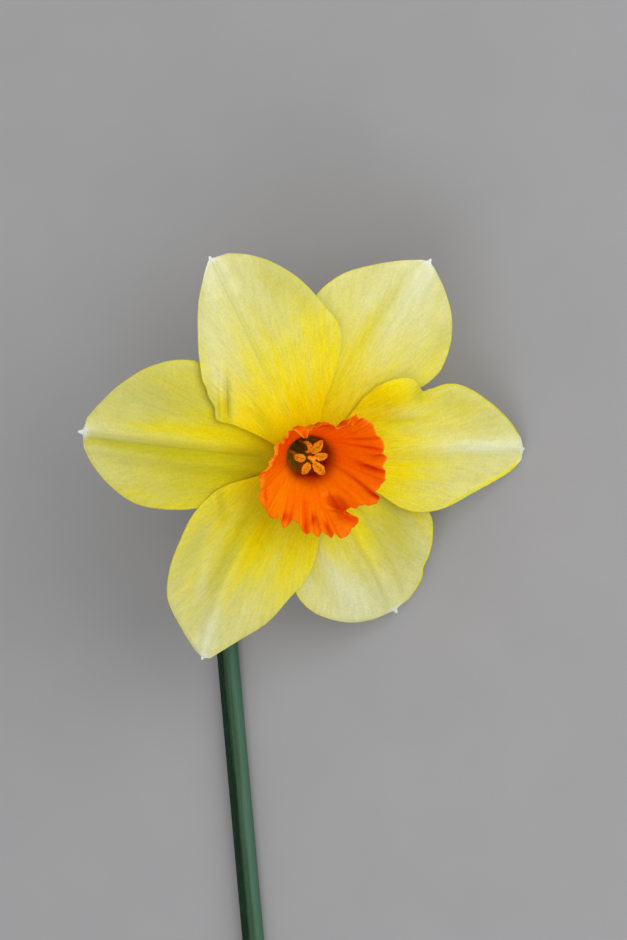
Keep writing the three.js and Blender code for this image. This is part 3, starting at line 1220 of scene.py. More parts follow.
    def build(self, carriage: Carriage) -> Piece:
        """Makes, dresses and registers the tepal.

        Args:
            carriage: How the head is carried.

        Returns:
            The finished piece.
        """
        point = self.surface(carriage.axis())
        sheet = Sheet(point, self.ROWS, self.COLUMNS, carriage.bloom(), marks=self.marks(point))
        piece = sheet.build(self.piece)
        thicken(piece, self.THICKNESS, "body")
        register(piece, [self.node], TepalFinish(f"{self.piece}_skin", self.reach).build())
        return piece


@dataclass(frozen=True)
class Perianth:
    """The six tepals in their two rings, named by where they stand round the throat."""

    tepals: tuple[Tepal, ...] = (
        Tepal(
            node="tepal_inner_1", piece="tepal_upper_left", bearing=117, whorl=Whorl.INNER,
            tip=(-21.8, 44.3, 12.8), seed=1,
            left=(11.4, 14.0, 12.5, 9.7, 6.65, 3.35, 0.85), right=(13.3, 19.1, 18.2, 16.1, 12.8, 8.45, 3.5),
            arch=2.6, cup=(-1.2, 0.2), twist=0.02, wave=0.3,
            ribs=(
                Rib(0.2, 0.0, 0.28, -0.10, 0.45, 0.97, -0.20),
                Rib(-0.7, 0.0, 0.28, -0.08, 0.45, 0.97, -0.16), Rib(-1.7, 0.0, 0.9, 0.10, 0.35, 0.97, 0.25),
                Rib(-3.9, 0.0, 1.5, -0.22, 0.5, 0.92, -0.12), Rib(2.5, 1.6, 1.8, 0.25, 0.35, 0.9, 0.30),
            ),
            swells=(
                Swell(0.32, 10.7, 0.11, 0.75, -0.8, -20), Swell(0.31, 12.0, 0.12, 0.6, 0.7, -20),
                Swell(0.30, 9.2, 0.10, 0.9, 0.3, -20), Swell(0.62, -10, 0.25, 1.8, 0.25),
            ),
            nicks=(Nick(Side.LEFT, 0.245, 0.045, -1.9), Nick(Side.LEFT, 0.41, 0.025, 0.4)),
            greens_and_shade=(
                Swell(0.30, 10.6, 0.11, 0.8, 0.60, -20), Swell(0.78, -11, 0.16, 4.5, 0.42),
                Swell(0.62, -15, 0.14, 2.5, 0.25), Swell(0.12, 5.5, 0.10, 1.6, 0.4),
                Swell(0.30, 13.4, 0.09, 1.5, 0.25),
            ),
            greys=(Swell(0.33, 14.0, 0.10, 1.1, 0.35, -14),),
            creams_and_highlights=(
                Swell(0.93, 1.0, 0.10, 3.0, 0.55), Swell(0.60, 7.5, 0.22, 3.2, 0.35),
                Swell(0.42, 10.4, 0.10, 1.8, 0.35),
            ),
            lemons_and_painted_light=(
                Swell(0.42, -15, 0.22, 5.0, 0.9), Swell(0.30, 12.0, 0.11, 0.6, 0.9, -20),
                Swell(0.22, 8, 0.1, 2, 0.5),
            ),
            reach=1.1, mucro=0.9,
        ),
        Tepal(
            node="tepal_outer_1", piece="tepal_upper_right", bearing=57, whorl=Whorl.OUTER,
            tip=(27.4, 44.1, 0.8), seed=2,
            left=(10.4, 15.4, 17.5, 15.5, 10.7, 5.5, 1.3), right=(6.4, 11.5, 15.0, 14.2, 11.0, 6.0, 1.1),
            arch=1.6, cup=(-0.9, -0.9), twist=-0.05, wave=0.3,
            ribs=(
                Rib(-0.8, 0.2, 1.9, 0.40, 0.35, 1.0, 0.45), Rib(1.6, 1.2, 1.2, -0.22, 0.3, 0.95, -0.07),
                Rib(4.2, 1.0, 1.3, 0.22, 0.3, 0.92), Rib(-3.9, -0.6, 1.3, -0.18, 0.4, 0.95),
            ),
            swells=(Swell(0.75, -7.5, 0.12, 2.5, -0.3), Swell(0.55, 9.0, 0.20, 1.8, 0.25)),
            greens_and_shade=(
                Swell(0.9, -5, 0.08, 3, 0.12), Swell(0.18, 4, 0.1, 2.0, 0.15),
                Swell(0.72, -12, 0.15, 2.0, 0.25), Swell(0.60, 3.2, 0.20, 1.0, 0.18),
                Swell(0.78, 9.5, 0.10, 2.0, 0.16),
            ),
            creams_and_highlights=(
                Swell(0.92, 0, 0.10, 4.5, 0.6), Swell(0.60, -2.0, 0.25, 2.6, 0.30),
                Swell(0.70, 7.0, 0.12, 2.5, 0.25),
            ),
            lemons_and_painted_light=(
                Swell(0.62, -13.5, 0.2, 2.2, 0.7), Swell(0.72, 11.5, 0.15, 2.5, 0.4),
                Swell(0.5, 4.0, 0.2, 1.4, 0.4),
            ),
            reach=1.08, mucro=1.1,
        ),
        Tepal(
            node="tepal_inner_2", piece="tepal_right", bearing=-3, whorl=Whorl.INNER,
            tip=(49.3, 1.9, -17.75), seed=3,
            left=(14.1, 17.4, 15.3, 14.9, 11.3, 7.1, 2.8), right=(7.5, 12.6, 12.8, 9.9, 7.3, 5.0, 2.5),
            arch=2.2, cup=(0.6, 0.2), twist=0.03, wave=0.25,
            ribs=(
                Rib(1.0, 0.4, 1.35, 0.35, 0.40, 1.0, 0.72), Rib(-1.2, -0.4, 0.9, -0.20, 0.35, 0.95, -0.08),
                Rib(-4.5, -1.0, 1.0, 0.18, 0.25, 0.8), Rib(5.8, 0.6, 0.9, 0.16, 0.3, 0.85),
            ),
            swells=(
                Swell(0.33, 14.5, 0.09, 4.0, 1.4), Swell(0.475, 14.0, 0.035, 2.6, -1.1),
                Swell(0.36, 7.6, 0.10, 1.4, -0.7), Swell(0.58, 14.5, 0.06, 2.2, 0.4),
            ),
            curls=(Curl(Side.RIGHT, 0.62, 0.94, 1.5, 1.2), Curl(Side.LEFT, 0.55, 0.97, 0.5, 0.3)),
            nicks=(
                Nick(Side.LEFT, 0.474, 0.024, 1.6), Nick(Side.LEFT, 0.514, 0.04, 0.85),
                Nick(Side.LEFT, 0.61, 0.06, -0.35),
            ),
            greens_and_shade=(
                Swell(0.36, 7.4, 0.10, 1.1, 0.40), Swell(0.13, -10, 0.09, 3.0, 0.60),
                Swell(0.46, -7, 0.25, 5.0, 0.12), Swell(0.455, 13.4, 0.035, 2.2, 0.45),
                Swell(0.80, 7.5, 0.14, 2.5, 0.22), Swell(0.64, 11.5, 0.12, 2.6, 0.25),
            ),
            creams_and_highlights=(
                Swell(0.88, 1.0, 0.20, 1.4, 0.65), Swell(0.62, 2.5, 0.16, 3.5, 0.28),
                Swell(0.40, 9.6, 0.09, 1.4, 0.25), Swell(0.62, -8.0, 0.16, 2.5, 0.25),
            ),
            lemons_and_painted_light=(
                Swell(0.32, 14, 0.13, 5, 0.9), Swell(0.3, -6, 0.2, 4, 0.3),
                Swell(0.75, 10.5, 0.18, 1.6, 0.6),
            ),
            mucro=0.5,
        ),
        Tepal(
            node="tepal_outer_2", piece="tepal_lower_right", bearing=-63, whorl=Whorl.OUTER,
            tip=(20.1, -35.2, -28), seed=4,
            left=(9.9, 14.7, 17.9, 16.0, 11.7, 7.5, 2.3), right=(9.3, 14.1, 17.5, 17.0, 13.9, 9.5, 3.4),
            arch=2.4, cup=(-1.6, -0.2), twist=-0.03, wave=0.4,
            ribs=(
                Rib(-0.6, 2.0, 1.2, 0.90, 0.2, 0.97, 0.10), Rib(2.4, 1.8, 1.0, -0.55, 0.2, 0.9, -0.12),
                Rib(-3.0, 0.6, 1.2, -0.30, 0.3, 0.9, -0.08), Rib(-6.5, -1.2, 1.4, 0.30, 0.3, 0.85),
                Rib(-10.0, -2.0, 1.2, -0.25, 0.3, 0.8, -0.06),
            ),
            swells=(Swell(0.6, 9, 0.2, 4.0, -0.4),),
            curls=(Curl(Side.LEFT, 0.5, 0.9, 0.9, 0.5),),
            nicks=(Nick(Side.LEFT, 0.83, 0.028, 0.6),),
            greens_and_shade=(
                Swell(0.52, 8.5, 0.3, 5.0, 0.50), Swell(0.28, -3, 0.13, 2.2, 0.22),
                Swell(0.18, 6, 0.1, 4.0, 0.25), Swell(0.66, -2.6, 0.16, 0.9, 0.15),
            ),
            greys=(Swell(0.42, -13.5, 0.12, 2.0, 0.35),),
            creams_and_highlights=(
                Swell(0.80, -7.5, 0.20, 5.5, 0.70), Swell(0.55, -8.0, 0.16, 1.6, 0.45),
                Swell(0.50, -14.0, 0.15, 1.3, 0.4), Swell(0.80, 1.5, 0.16, 1.8, 0.25),
            ),
            lemons_and_painted_light=(Swell(0.66, 0.9, 0.36, 1.5, 1.3, -3.5), Swell(0.60, 15.5, 0.25, 1.6, 0.9)),
            reach=1.18, mucro=1.7, frost=0.0,
        ),
        Tepal(
            node="tepal_inner_3", piece="tepal_lower_left", bearing=-117, whorl=Whorl.INNER,
            tip=(-24.1, -45.8, -16.1), seed=5,
            left=(10.5, 12.5, 11.0, 9.2, 5.8, 3.15, 1.4), right=(13.8, 16.9, 16.9, 15.8, 12.9, 6.85, 1.9),
            arch=2.4, cup=(0.3, -0.6), twist=0.0, wave=0.3,
            ribs=(
                Rib(0.0, -3.1, 1.3, 0.95, 0.35, 1.0, 0.50), Rib(-3.2, -2.8, 1.3, -0.6, 0.3, 0.85, -0.12),
                Rib(2.6, -1.5, 1.0, -0.30, 0.3, 0.9, -0.06),
            ),
            swells=(
                Swell(0.27, -14.3, 0.09, 0.9, 0.5, 29), Swell(0.27, -12.6, 0.09, 0.9, -0.6, 29),
                Swell(0.66, -7.9, 0.14, 1.4, 0.35, 17),
            ),
            greens_and_shade=(
                Swell(0.5, -14, 0.2, 3.0, 0.25), Swell(0.15, -4, 0.12, 5, 0.30),
                Swell(0.50, -6.0, 0.22, 1.7, 0.36), Swell(0.27, -12.4, 0.08, 0.9, 0.35, 29),
            ),
            greys=(Swell(0.50, -13.2, 0.14, 1.5, 0.40),),
            creams_and_highlights=(
                Swell(0.93, -0.8, 0.10, 3.5, 0.45), Swell(0.66, -7.9, 0.15, 1.1, 0.22, 17),
                Swell(0.86, -1.6, 0.14, 1.0, 0.30), Swell(0.70, 4.5, 0.14, 2.5, 0.18),
            ),
            lemons_and_painted_light=(
                Swell(0.4, 8, 0.25, 3, 0.4), Swell(0.36, -0.8, 0.16, 1.7, 1.0),
                Swell(0.60, -2.4, 0.22, 1.3, 0.7),
            ),
            reach=0.97, overall_shade=0.06, mucro=0.9, frost=0.35,
        ),
        Tepal(
            node="tepal_outer_3", piece="tepal_left", bearing=177, whorl=Whorl.OUTER,
            tip=(-50.6, 5.6, 7.1), seed=6,
            left=(10.6, 14.0, 15.3, 14.6, 11.4, 7.0, 2.3), right=(13.4, 17.6, 18.6, 16.1, 11.8, 6.5, 2.2),
            arch=2.0, cup=(-0.4, -1.2), twist=0.03, wave=0.35,
            ribs=(
                Rib(-0.9, 0.0, 1.3, 0.50, 0.2, 1.0, 0.16), Rib(1.7, 0.0, 1.3, -0.42, 0.12, 0.96, -0.40),
                Rib(1.2, 0.0, 0.35, -0.10, 0.12, 0.97, -0.20), Rib(3.6, 0.4, 0.8, 0.20, 0.15, 0.9),
                Rib(5.0, 1.2, 1.2, -0.20, 0.15, 0.80, -0.20),
            ),
            greens_and_shade=(
                Swell(0.6, -10, 0.28, 6.5, 0.36), Swell(0.40, 9, 0.3, 5.0, 0.36),
                Swell(0.3, 4.6, 0.3, 1.8, 0.22), Swell(0.60, 2.9, 0.34, 1.8, 0.34),
                Swell(0.12, 0, 0.14, 5, 0.42),
            ),
            greys=(Swell(0.72, -9, 0.14, 3.0, 0.35),),
            creams_and_highlights=(Swell(0.93, -1.5, 0.08, 2.2, 0.35),),
            lemons_and_painted_light=(
                Swell(0.70, -2.9, 0.42, 1.9, 1.0), Swell(0.75, 12.5, 0.14, 2.2, 0.9),
                Swell(0.45, 15.0, 0.14, 1.6, 0.5),
            ),
            overall_shade=0.22, mucro=1.6,
        ),
    )

    def build(self, carriage: Carriage) -> list[Piece]:
        """Returns the six finished tepals."""
        return [tepal.build(carriage) for tepal in self.tepals]


# ---- Corona ----
@dataclass(frozen=True)
class RimPoint:
    """A turn of the corona's rim: where on the foot it grows from, and where it ends up."""

    turn: float
    bearing: float
    radius: float
    lift: float = 0.0


@dataclass(frozen=True)
class Roll:
    """A stretch of the rim that rolls over: inward for a positive bend in degrees, outward for a negative.

    It is centred on a turn and fades over wide degrees; start is where on the wall it begins, grow
    makes the rolled skin longer, and crisp tells how steep its sides are.
    """

    turn: float
    wide: float
    start: float
    bend: float
    grow: float = 0.0
    crisp: int = 4

    def weight(self, turn: float) -> float:
        """Returns the roll's strength at a turn, from 0 to 1."""
        away = (turn - self.turn + 180) % 360 - 180
        return math.exp(-(abs(away / self.wide) ** self.crisp))


@dataclass(frozen=True)
class Bulge:
    """A rise of the cup's wall towards its axis, or a dent where lift is negative.

    It sits at a turn in degrees and at a share of the way from foot to rim. red tells how red it is,
    which in a dent is painted shade.
    """

    turn: float
    wide: float
    middle: float
    long: float
    lift: float
    red: float = 0.0

    def share(self, a: float, turn: float) -> float:
        """Returns how near a place of the wall is to the bulge, from 0 to 1."""
        away = (turn - self.turn + 180) % 360 - 180
        return math.exp(-(abs(away / self.wide) ** 2) - ((a - self.middle) / self.long) ** 4)


@dataclass(frozen=True)
class Pucker:
    """A small fold of the cup's wall, placed as it is seen along the axis; it sinks where lift is negative.

    slant turns its long side from the cup's X, and red, deep and pale tell how strongly it is coloured: red
    and deep paint the fold's shade, red partly the skin's own colour, and pale paints a highlight on its
    ridge.
    """

    x: float
    y: float
    long: float
    wide: float
    slant: float
    lift: float
    red: float = 0.0
    deep: float = 0.0
    pale: float = 0.0
    crisp: int = 2

    def share(self, place: Vector) -> float:
        """Returns how near a place of the wall is to the fold, from 0 to 1."""
        away = (place.xy - Vector((self.x, self.y))) @ Matrix.Rotation(math.radians(self.slant), 2)
        return math.exp(-(math.hypot(away.x / self.long, away.y / self.wide) ** self.crisp))


@dataclass(frozen=True)
class Corona:
    """The ruffled cup, whose rim is a smooth closed line through listed points.

    Its columns crowd at the notch between two lobes. pleats and waves are layers of noise over the wall,
    and frills and crimps over the rim.
    """

    foot_radius: float = 4.75
    foot_height: float = -1.2
    height: float = 13.0
    mean_radius: float = 14.0
    rim: tuple[RimPoint, ...] = (
        RimPoint(0, -0.5, 14.6, 0.2), RimPoint(5, 5, 13.86, 0.5), RimPoint(10.5, 10.5, 15.5),
        RimPoint(17, 17, 14.23, 0.5), RimPoint(21, 21, 15.11), RimPoint(26, 26, 15.64, 0.2),
        RimPoint(34, 34, 15.29, 0.3), RimPoint(45, 45, 16.32), RimPoint(54, 55, 15.5),
        RimPoint(57.5, 59, 15.75, 0.4), RimPoint(60, 61.2, 14.85, 0.3), RimPoint(62, 61.3, 13.73, 0.2),
        RimPoint(64.5, 62.5, 12.51, 0.1), RimPoint(68, 67, 11.71, 0.3), RimPoint(72, 72, 11.55, 0.3),
        RimPoint(78, 78, 11.45), RimPoint(88, 88, 11.85, 0.3), RimPoint(94, 94, 11.51, 0.5),
        RimPoint(99, 99, 11.46, 0.1), RimPoint(104, 104, 11.2, 0.4), RimPoint(108, 107.5, 11.97, 0.6),
        RimPoint(113, 113, 13.11, 0.2), RimPoint(119, 120, 13.1, 0.3), RimPoint(124, 124, 13),
        RimPoint(128, 128, 12.23, 0.2), RimPoint(132, 132, 12.4, 0.3), RimPoint(138, 138, 11.7, -0.2),
        RimPoint(144, 144.5, 12.36, 0.3), RimPoint(150, 150, 11.55), RimPoint(157, 157, 11.04, 0.3),
        RimPoint(164, 164, 11.7), RimPoint(168, 168, 11.35, 0.3), RimPoint(173, 174, 13.29, 0.2),
        RimPoint(179, 180, 13.45), RimPoint(187, 188, 13.8, 0.5), RimPoint(193, 193, 13.97),
        RimPoint(198, 198, 14.76, 0.2), RimPoint(204, 204, 15.23, 0.3), RimPoint(209, 209, 15.21, 0.4),
        RimPoint(215, 215, 15.1, 0.2), RimPoint(219, 219.5, 15.13), RimPoint(223, 223, 13.59, 0.3),
        RimPoint(226.5, 226.5, 13.54, 0.3), RimPoint(230, 231, 14.44, -0.1),
        RimPoint(233.5, 235, 14.77, -0.3), RimPoint(237, 237.5, 13.79), RimPoint(240, 238.5, 11.96, 0.4),
        RimPoint(246, 246, 12.3), RimPoint(250, 250, 13.23), RimPoint(256, 256, 14),
        RimPoint(261, 261, 13.26, 0.3), RimPoint(266, 266.5, 14.53, -0.1), RimPoint(269, 269.7, 13.91, 0.1),
        RimPoint(271, 271, 12.86, 0.4), RimPoint(275, 275, 14.17, 0.1), RimPoint(279, 279, 15.21),
        RimPoint(281, 282.5, 14.03, 0.4), RimPoint(283.6, 286, 15.6, 0.1), RimPoint(286.4, 289, 16.11),
        RimPoint(288.6, 293.5, 15.91), RimPoint(291, 297.5, 15.34), RimPoint(292.9, 301, 15.35, 0.1),
        RimPoint(294.5, 304.7, 14.75, 0.2), RimPoint(295.8, 308, 13.6, 0.3),
        RimPoint(296.8, 307.6, 12.7, 0.4), RimPoint(297.8, 306, 12, 0.5),
        RimPoint(298.7, 302.6, 10.95, 0.55), RimPoint(299.5, 299.6, 9.7, 0.6),
        RimPoint(301.5, 304, 9.65, 0.6), RimPoint(304.5, 308.6, 10.25, 0.5),
        RimPoint(309, 313.6, 11.3, 0.4), RimPoint(314, 318.8, 12.2, 0.3), RimPoint(319.5, 322.5, 12.9, 0.3),
        RimPoint(324, 323.3, 13.6, 0.1), RimPoint(327, 325.5, 14.47), RimPoint(330, 329, 14.89),
        RimPoint(334, 334.3, 14.55, 0.1), RimPoint(339, 338.6, 12.75, 0.4),
        RimPoint(342, 341.5, 13.66, 0.2), RimPoint(346, 346, 14.76, 0.1), RimPoint(352, 352, 14.72, 0.3),
    )
    rolls: tuple[Roll, ...] = (
        Roll(112, 4.2, 0.80, 125, 0.30, crisp=2), Roll(155, 24.0, 0.93, -60, 0.2),
        Roll(214, 12.0, 0.94, 50, 0.1),
    )
    bulges: tuple[Bulge, ...] = (
        Bulge(46, 3.5, 0.85, 0.16, 0.5), Bulge(255, 3.0, 0.70, 0.30, -0.6, 0.5),
        Bulge(262, 2.2, 0.75, 0.28, 0.5), Bulge(322, 5.0, 0.80, 0.20, 0.3),
        Bulge(278, 3.0, 0.80, 0.20, 0.4), Bulge(205, 3.0, 0.80, 0.22, 0.4),
    )
    puckers: tuple[Pucker, ...] = (
        Pucker(4.55, -8.55, 2.0, 1.35, -5, -1.1, deep=0.60, crisp=6),
        Pucker(4.2, -10.3, 1.9, 0.35, 0, -0.4, deep=0.5),
        Pucker(7.36, -11.26, 2.4, 1.0, -5, -0.3, red=0.6, deep=0.25),
        Pucker(5.7, 10.1, 1.2, 0.9, 60, -0.9, deep=1.0), Pucker(7.74, 10.44, 1.4, 0.28, 105, 0.4, pale=0.4),
        Pucker(0.77, 10.6, 2.4, 1.0, 0, -0.5, deep=1.0), Pucker(-5.36, 10.6, 0.9, 0.55, 60, -0.3, deep=0.9),
        Pucker(-2.6, 11.0, 1.1, 0.30, 15, 0.5, pale=0.9), Pucker(3.6, 10.9, 0.9, 0.30, 80, 0.3, pale=0.6),
        Pucker(12.1, -0.13, 2.4, 0.65, -8, -1.0, red=0.4, deep=0.75), Pucker(12.0, 1.2, 2.0, 0.7, 0, 0.4),
        Pucker(12.8, -6.29, 1.7, 0.65, -35, -0.7, deep=0.85),
        Pucker(11.76, 4.49, 4.2, 0.38, 5, -0.55, red=0.6, deep=0.35),
        Pucker(10.5, 6.6, 4.2, 0.45, 18, -0.4, red=0.6, deep=0.2),
        Pucker(9.78, -4.04, 3.8, 0.55, -28, -0.65, deep=0.55),
        Pucker(-7.77, -9.97, 1.0, 0.8, 40, -0.8, deep=1.0),
        Pucker(-1.09, -11.67, 1.0, 0.75, 60, -0.6, deep=1.0),
        Pucker(1.83, -13.5, 1.7, 0.5, -65, -0.4, deep=0.8),
        Pucker(-3.3, -13.0, 1.5, 0.5, 70, -0.3, deep=0.6),
        Pucker(-12.2, -5.0, 1.6, 0.5, 80, -0.4, deep=0.6), Pucker(-13.3, 0.7, 0.9, 0.4, 60, -0.3, deep=0.6),
        Pucker(13.6, 3.2, 1.2, 0.5, 30, -0.4, deep=0.6), Pucker(9.0, 11.8, 1.4, 0.5, 60, -0.3, deep=0.45),
    )
    notch: float = 299.0
    crowding: float = 14.0
    pleats: tuple[Layer, ...] = ((4.2, 11, 0.6), (9, 12, 0.4), (19, 16, 0.22))
    pleat_depth: float = 1.7
    frills: tuple[Layer, ...] = ((9, 13, 0.35), (24, 14, 0.28))
    frill_height: float = 1.7
    waves: tuple[Layer, ...] = ((12, 17, 1.2),)
    crimps: tuple[Layer, ...] = ((30, 15, 0.22),)
    lift_up: float = 0.75
    lift_in: float = 0.65
    tension: float = 0.8
    thickness: float = 0.42
    rows: int = 70
    columns: int = 680

    def turn(self, b: float) -> float:
        """Spreads the grid's columns, which crowd at the notch.

        Args:
            b: The column, from 0 to 1.

        Returns:
            The turn in degrees.
        """
        turn = b % 1 * 360
        away = turn - self.notch
        return turn - 0.5 * away * bell(away, self.crowding)

    def rim_at(self, turn: float) -> tuple[float, float, float]:
        """Reads the rim.

        Args:
            turn: The turn of the foot in degrees.

        Returns:
            The rim's bearing, radius and lift there.
        """
        turn %= 360
        count = len(self.rim)
        i = max(n for n in range(count) if self.rim[n].turn <= turn)
        wrap = [self.rim[(i + k) % count] for k in (-1, 0, 1, 2)]
        shifts = [360 * math.floor((i + k) / count) for k in (-1, 0, 1, 2)]
        turns = [point.turn + shift for point, shift in zip(wrap, shifts)]
        t = (turn - turns[1]) / (turns[2] - turns[1])
        span = turns[2] - turns[1]
        values = []
        for name in ("bearing", "radius", "lift"):
            p = [getattr(point, name) for point in wrap]
            if name == "bearing":
                p = [bearing + shift for bearing, shift in zip(p, shifts)]
            start = (p[2] - p[0]) / (turns[2] - turns[0]) * span * self.tension
            end = (p[3] - p[1]) / (turns[3] - turns[1]) * span * self.tension
            values.append(hermite(p[1], p[2], start, end, t))
        return values[0], values[1], values[2]

    def wall(self, a: float, b: float) -> Vector:
        """Reads the open cup's surface.

        Args:
            a: The place from the foot, 0, to the rim, 1.
            b: The place round, from 0 to 1.

        Returns:
            The point in the cup's frame.
        """
        turn = self.turn(b)
        bearing, radius, lift = self.rim_at(turn)
        angle = math.radians(mix(turn, bearing, a**4))
        ring = math.radians(turn)
        x, y = math.cos(ring), math.sin(ring)
        out = mix(self.foot_radius, self.mean_radius, a**1.15) + (radius - self.mean_radius) * a**3
        rise = mix(self.foot_height, self.height, a) + lift * a**3
        out += ripples(x, y, self.pleats) * a * (1 - a * 0.7) * self.pleat_depth
        rise += ripples(x, y, self.frills, a) * a**6 * self.frill_height + ripples(x, y, self.waves) * a**3
        out += ripples(x, y, self.crimps) * a**8
        return Vector((out * math.cos(angle), out * math.sin(angle), rise))

    def bulged(self, a: float, b: float) -> Vector:
        """Reads the wall with its bulges and puckers.

        Args:
            a: The place from the foot, 0, to the rim, 1.
            b: The place round, from 0 to 1.

        Returns:
            The point in the cup's frame.
        """
        place = self.wall(a, b)
        lift = sum(bulge.lift * bulge.share(a, self.turn(b)) for bulge in self.bulges)
        lift += sum(pucker.lift * pucker.share(place) for pucker in self.puckers)
        out = Vector((place.x, place.y, 0)).normalized()
        return place + (Vector((0, 0, self.lift_up)) - out * self.lift_in) * lift

    def point(self, a: float, b: float) -> Vector:
        """Reads the finished surface, whose rim is rolled over where the rolls say.

        Args:
            a: The place from the foot, 0, to the rim, 1.
            b: The place round, from 0 to 1.

        Returns:
            The point in the cup's frame.
        """
        place = self.bulged(a, b)
        for roll in self.rolls:
            weight = roll.weight(self.turn(b))
            if a <= roll.start or weight < 0.01:
                continue
            hinge = self.wall(roll.start, b)
            along = (hinge - self.wall(roll.start - 0.03, b)).normalized()
            inward = Vector((-hinge.x, -hinge.y, 0)).normalized()
            inward = (inward - along * inward.dot(along)).normalized()
            whole = (self.wall(1, b) - hinge).length
            length = (place - hinge).length
            grown = length * (1 + roll.grow * weight)
            curl = math.radians(roll.bend) * weight / whole
            bent = along * (math.sin(curl * grown) / curl) + inward * ((1 - math.cos(curl * grown)) / curl)
            place += bent - along * length
        return place

    def red(self, a: float, b: float) -> float:
        """Tells how red the skin is, partly its own red and partly painted shade: in the folds, more on the
        upper right where the wall is turned from the light, and on the left under the rolled rim.

        Args:
            a: The place from the foot, 0, to the rim, 1.
            b: The place round, from 0 to 1.

        Returns:
            The strength, from 0 to 1.
        """
        turn, place = self.turn(b), self.wall(a, b)
        rolled = sum(bulge.red * bulge.share(a, turn) for bulge in self.bulges)
        rolled += sum(pucker.red * pucker.share(place) for pucker in self.puckers)
        # Painted shade: redder on the upper right, where the wall is turned from the light, and on the left
        # under the rolled rim.
        side = 0.42 * (0.5 + 0.5 * math.cos(math.radians(turn - 45)))
        shade = 0.45 * bell(turn - 148, 34) * (1 - smooth(0.84, 0.94, a))
        return min(1.0, rolled + side + shade)

    def deep(self, a: float, b: float) -> float:
        """Tells how dark a red the skin is: painted shade in the puckers, and a thin line on the lower rim.

        Args:
            a: The place from the foot, 0, to the rim, 1.
            b: The place round, from 0 to 1.

        Returns:
            The strength, from 0 to 1.
        """
        place = self.wall(a, b)
        folded = sum(pucker.deep * pucker.share(place) for pucker in self.puckers)
        line = 0.35 * smooth(0.975, 1.0, a) * window(self.turn(b), 200, 340, 15)
        return min(1.0, max(folded, line))

    def pale(self, a: float, b: float) -> float:
        """Tells how pale the skin is: along the upper rim, in patches, and as a painted highlight on the
        small bright folds.

        Args:
            a: The place from the foot, 0, to the rim, 1.
            b: The place round, from 0 to 1.

        Returns:
            The strength, from 0 to 1.
        """
        turn, place = self.turn(b), self.wall(a, b)
        upper = 1 - window(turn, 195, 335, 20)
        patches = mix(0.45, 1.0, smooth(-0.3, 0.3, grain(turn * 0.18, a * 6, 18)))
        edge = smooth(0.965, 1.0, a) * mix(0.45, 0.95, upper)
        rolled = smooth(0.89, 0.95, a) * bell(turn - 150, 38) * 0.85
        # Painted highlights on the ridges of small folds.
        bright = sum(pucker.pale * pucker.share(place) for pucker in self.puckers)
        return min(1.0, max(edge, rolled) * patches + bright)

    def throat(self, a: float, b: float) -> float:
        """Returns how strong the painted shade at the foot is, a deep red, most on the lower right."""
        lower = 0.5 + 0.5 * math.cos(2 * math.pi * b + SHADED_SIDE)
        return (1 - smooth(0.02, 0.19 + 0.17 * lower, a)) * mix(0.35, 1.0, lower)

    def body(self, a: float, _b: float) -> float:
        """Returns the share of the full thickness: all of it in the wall, none at the rim."""
        return 1 - smooth(0.9, 1.0, a)

    def build(self, carriage: Carriage) -> Piece:
        """Makes, dresses and registers the corona.

        Args:
            carriage: How the head is carried.

        Returns:
            The finished piece.
        """
        marks = {
            "red": self.red,
            "deep": self.deep,
            "rim": self.pale,
            "throat": self.throat,
            "body": self.body,
        }
        sheet = Sheet(self.point, self.rows, self.columns, carriage.cup(), rolled=True, marks=marks)
        piece = sheet.build("corona_cup")
        thicken(piece, self.thickness, "body")
        register(piece, ["corona"], CoronaFinish().build())
        return piece


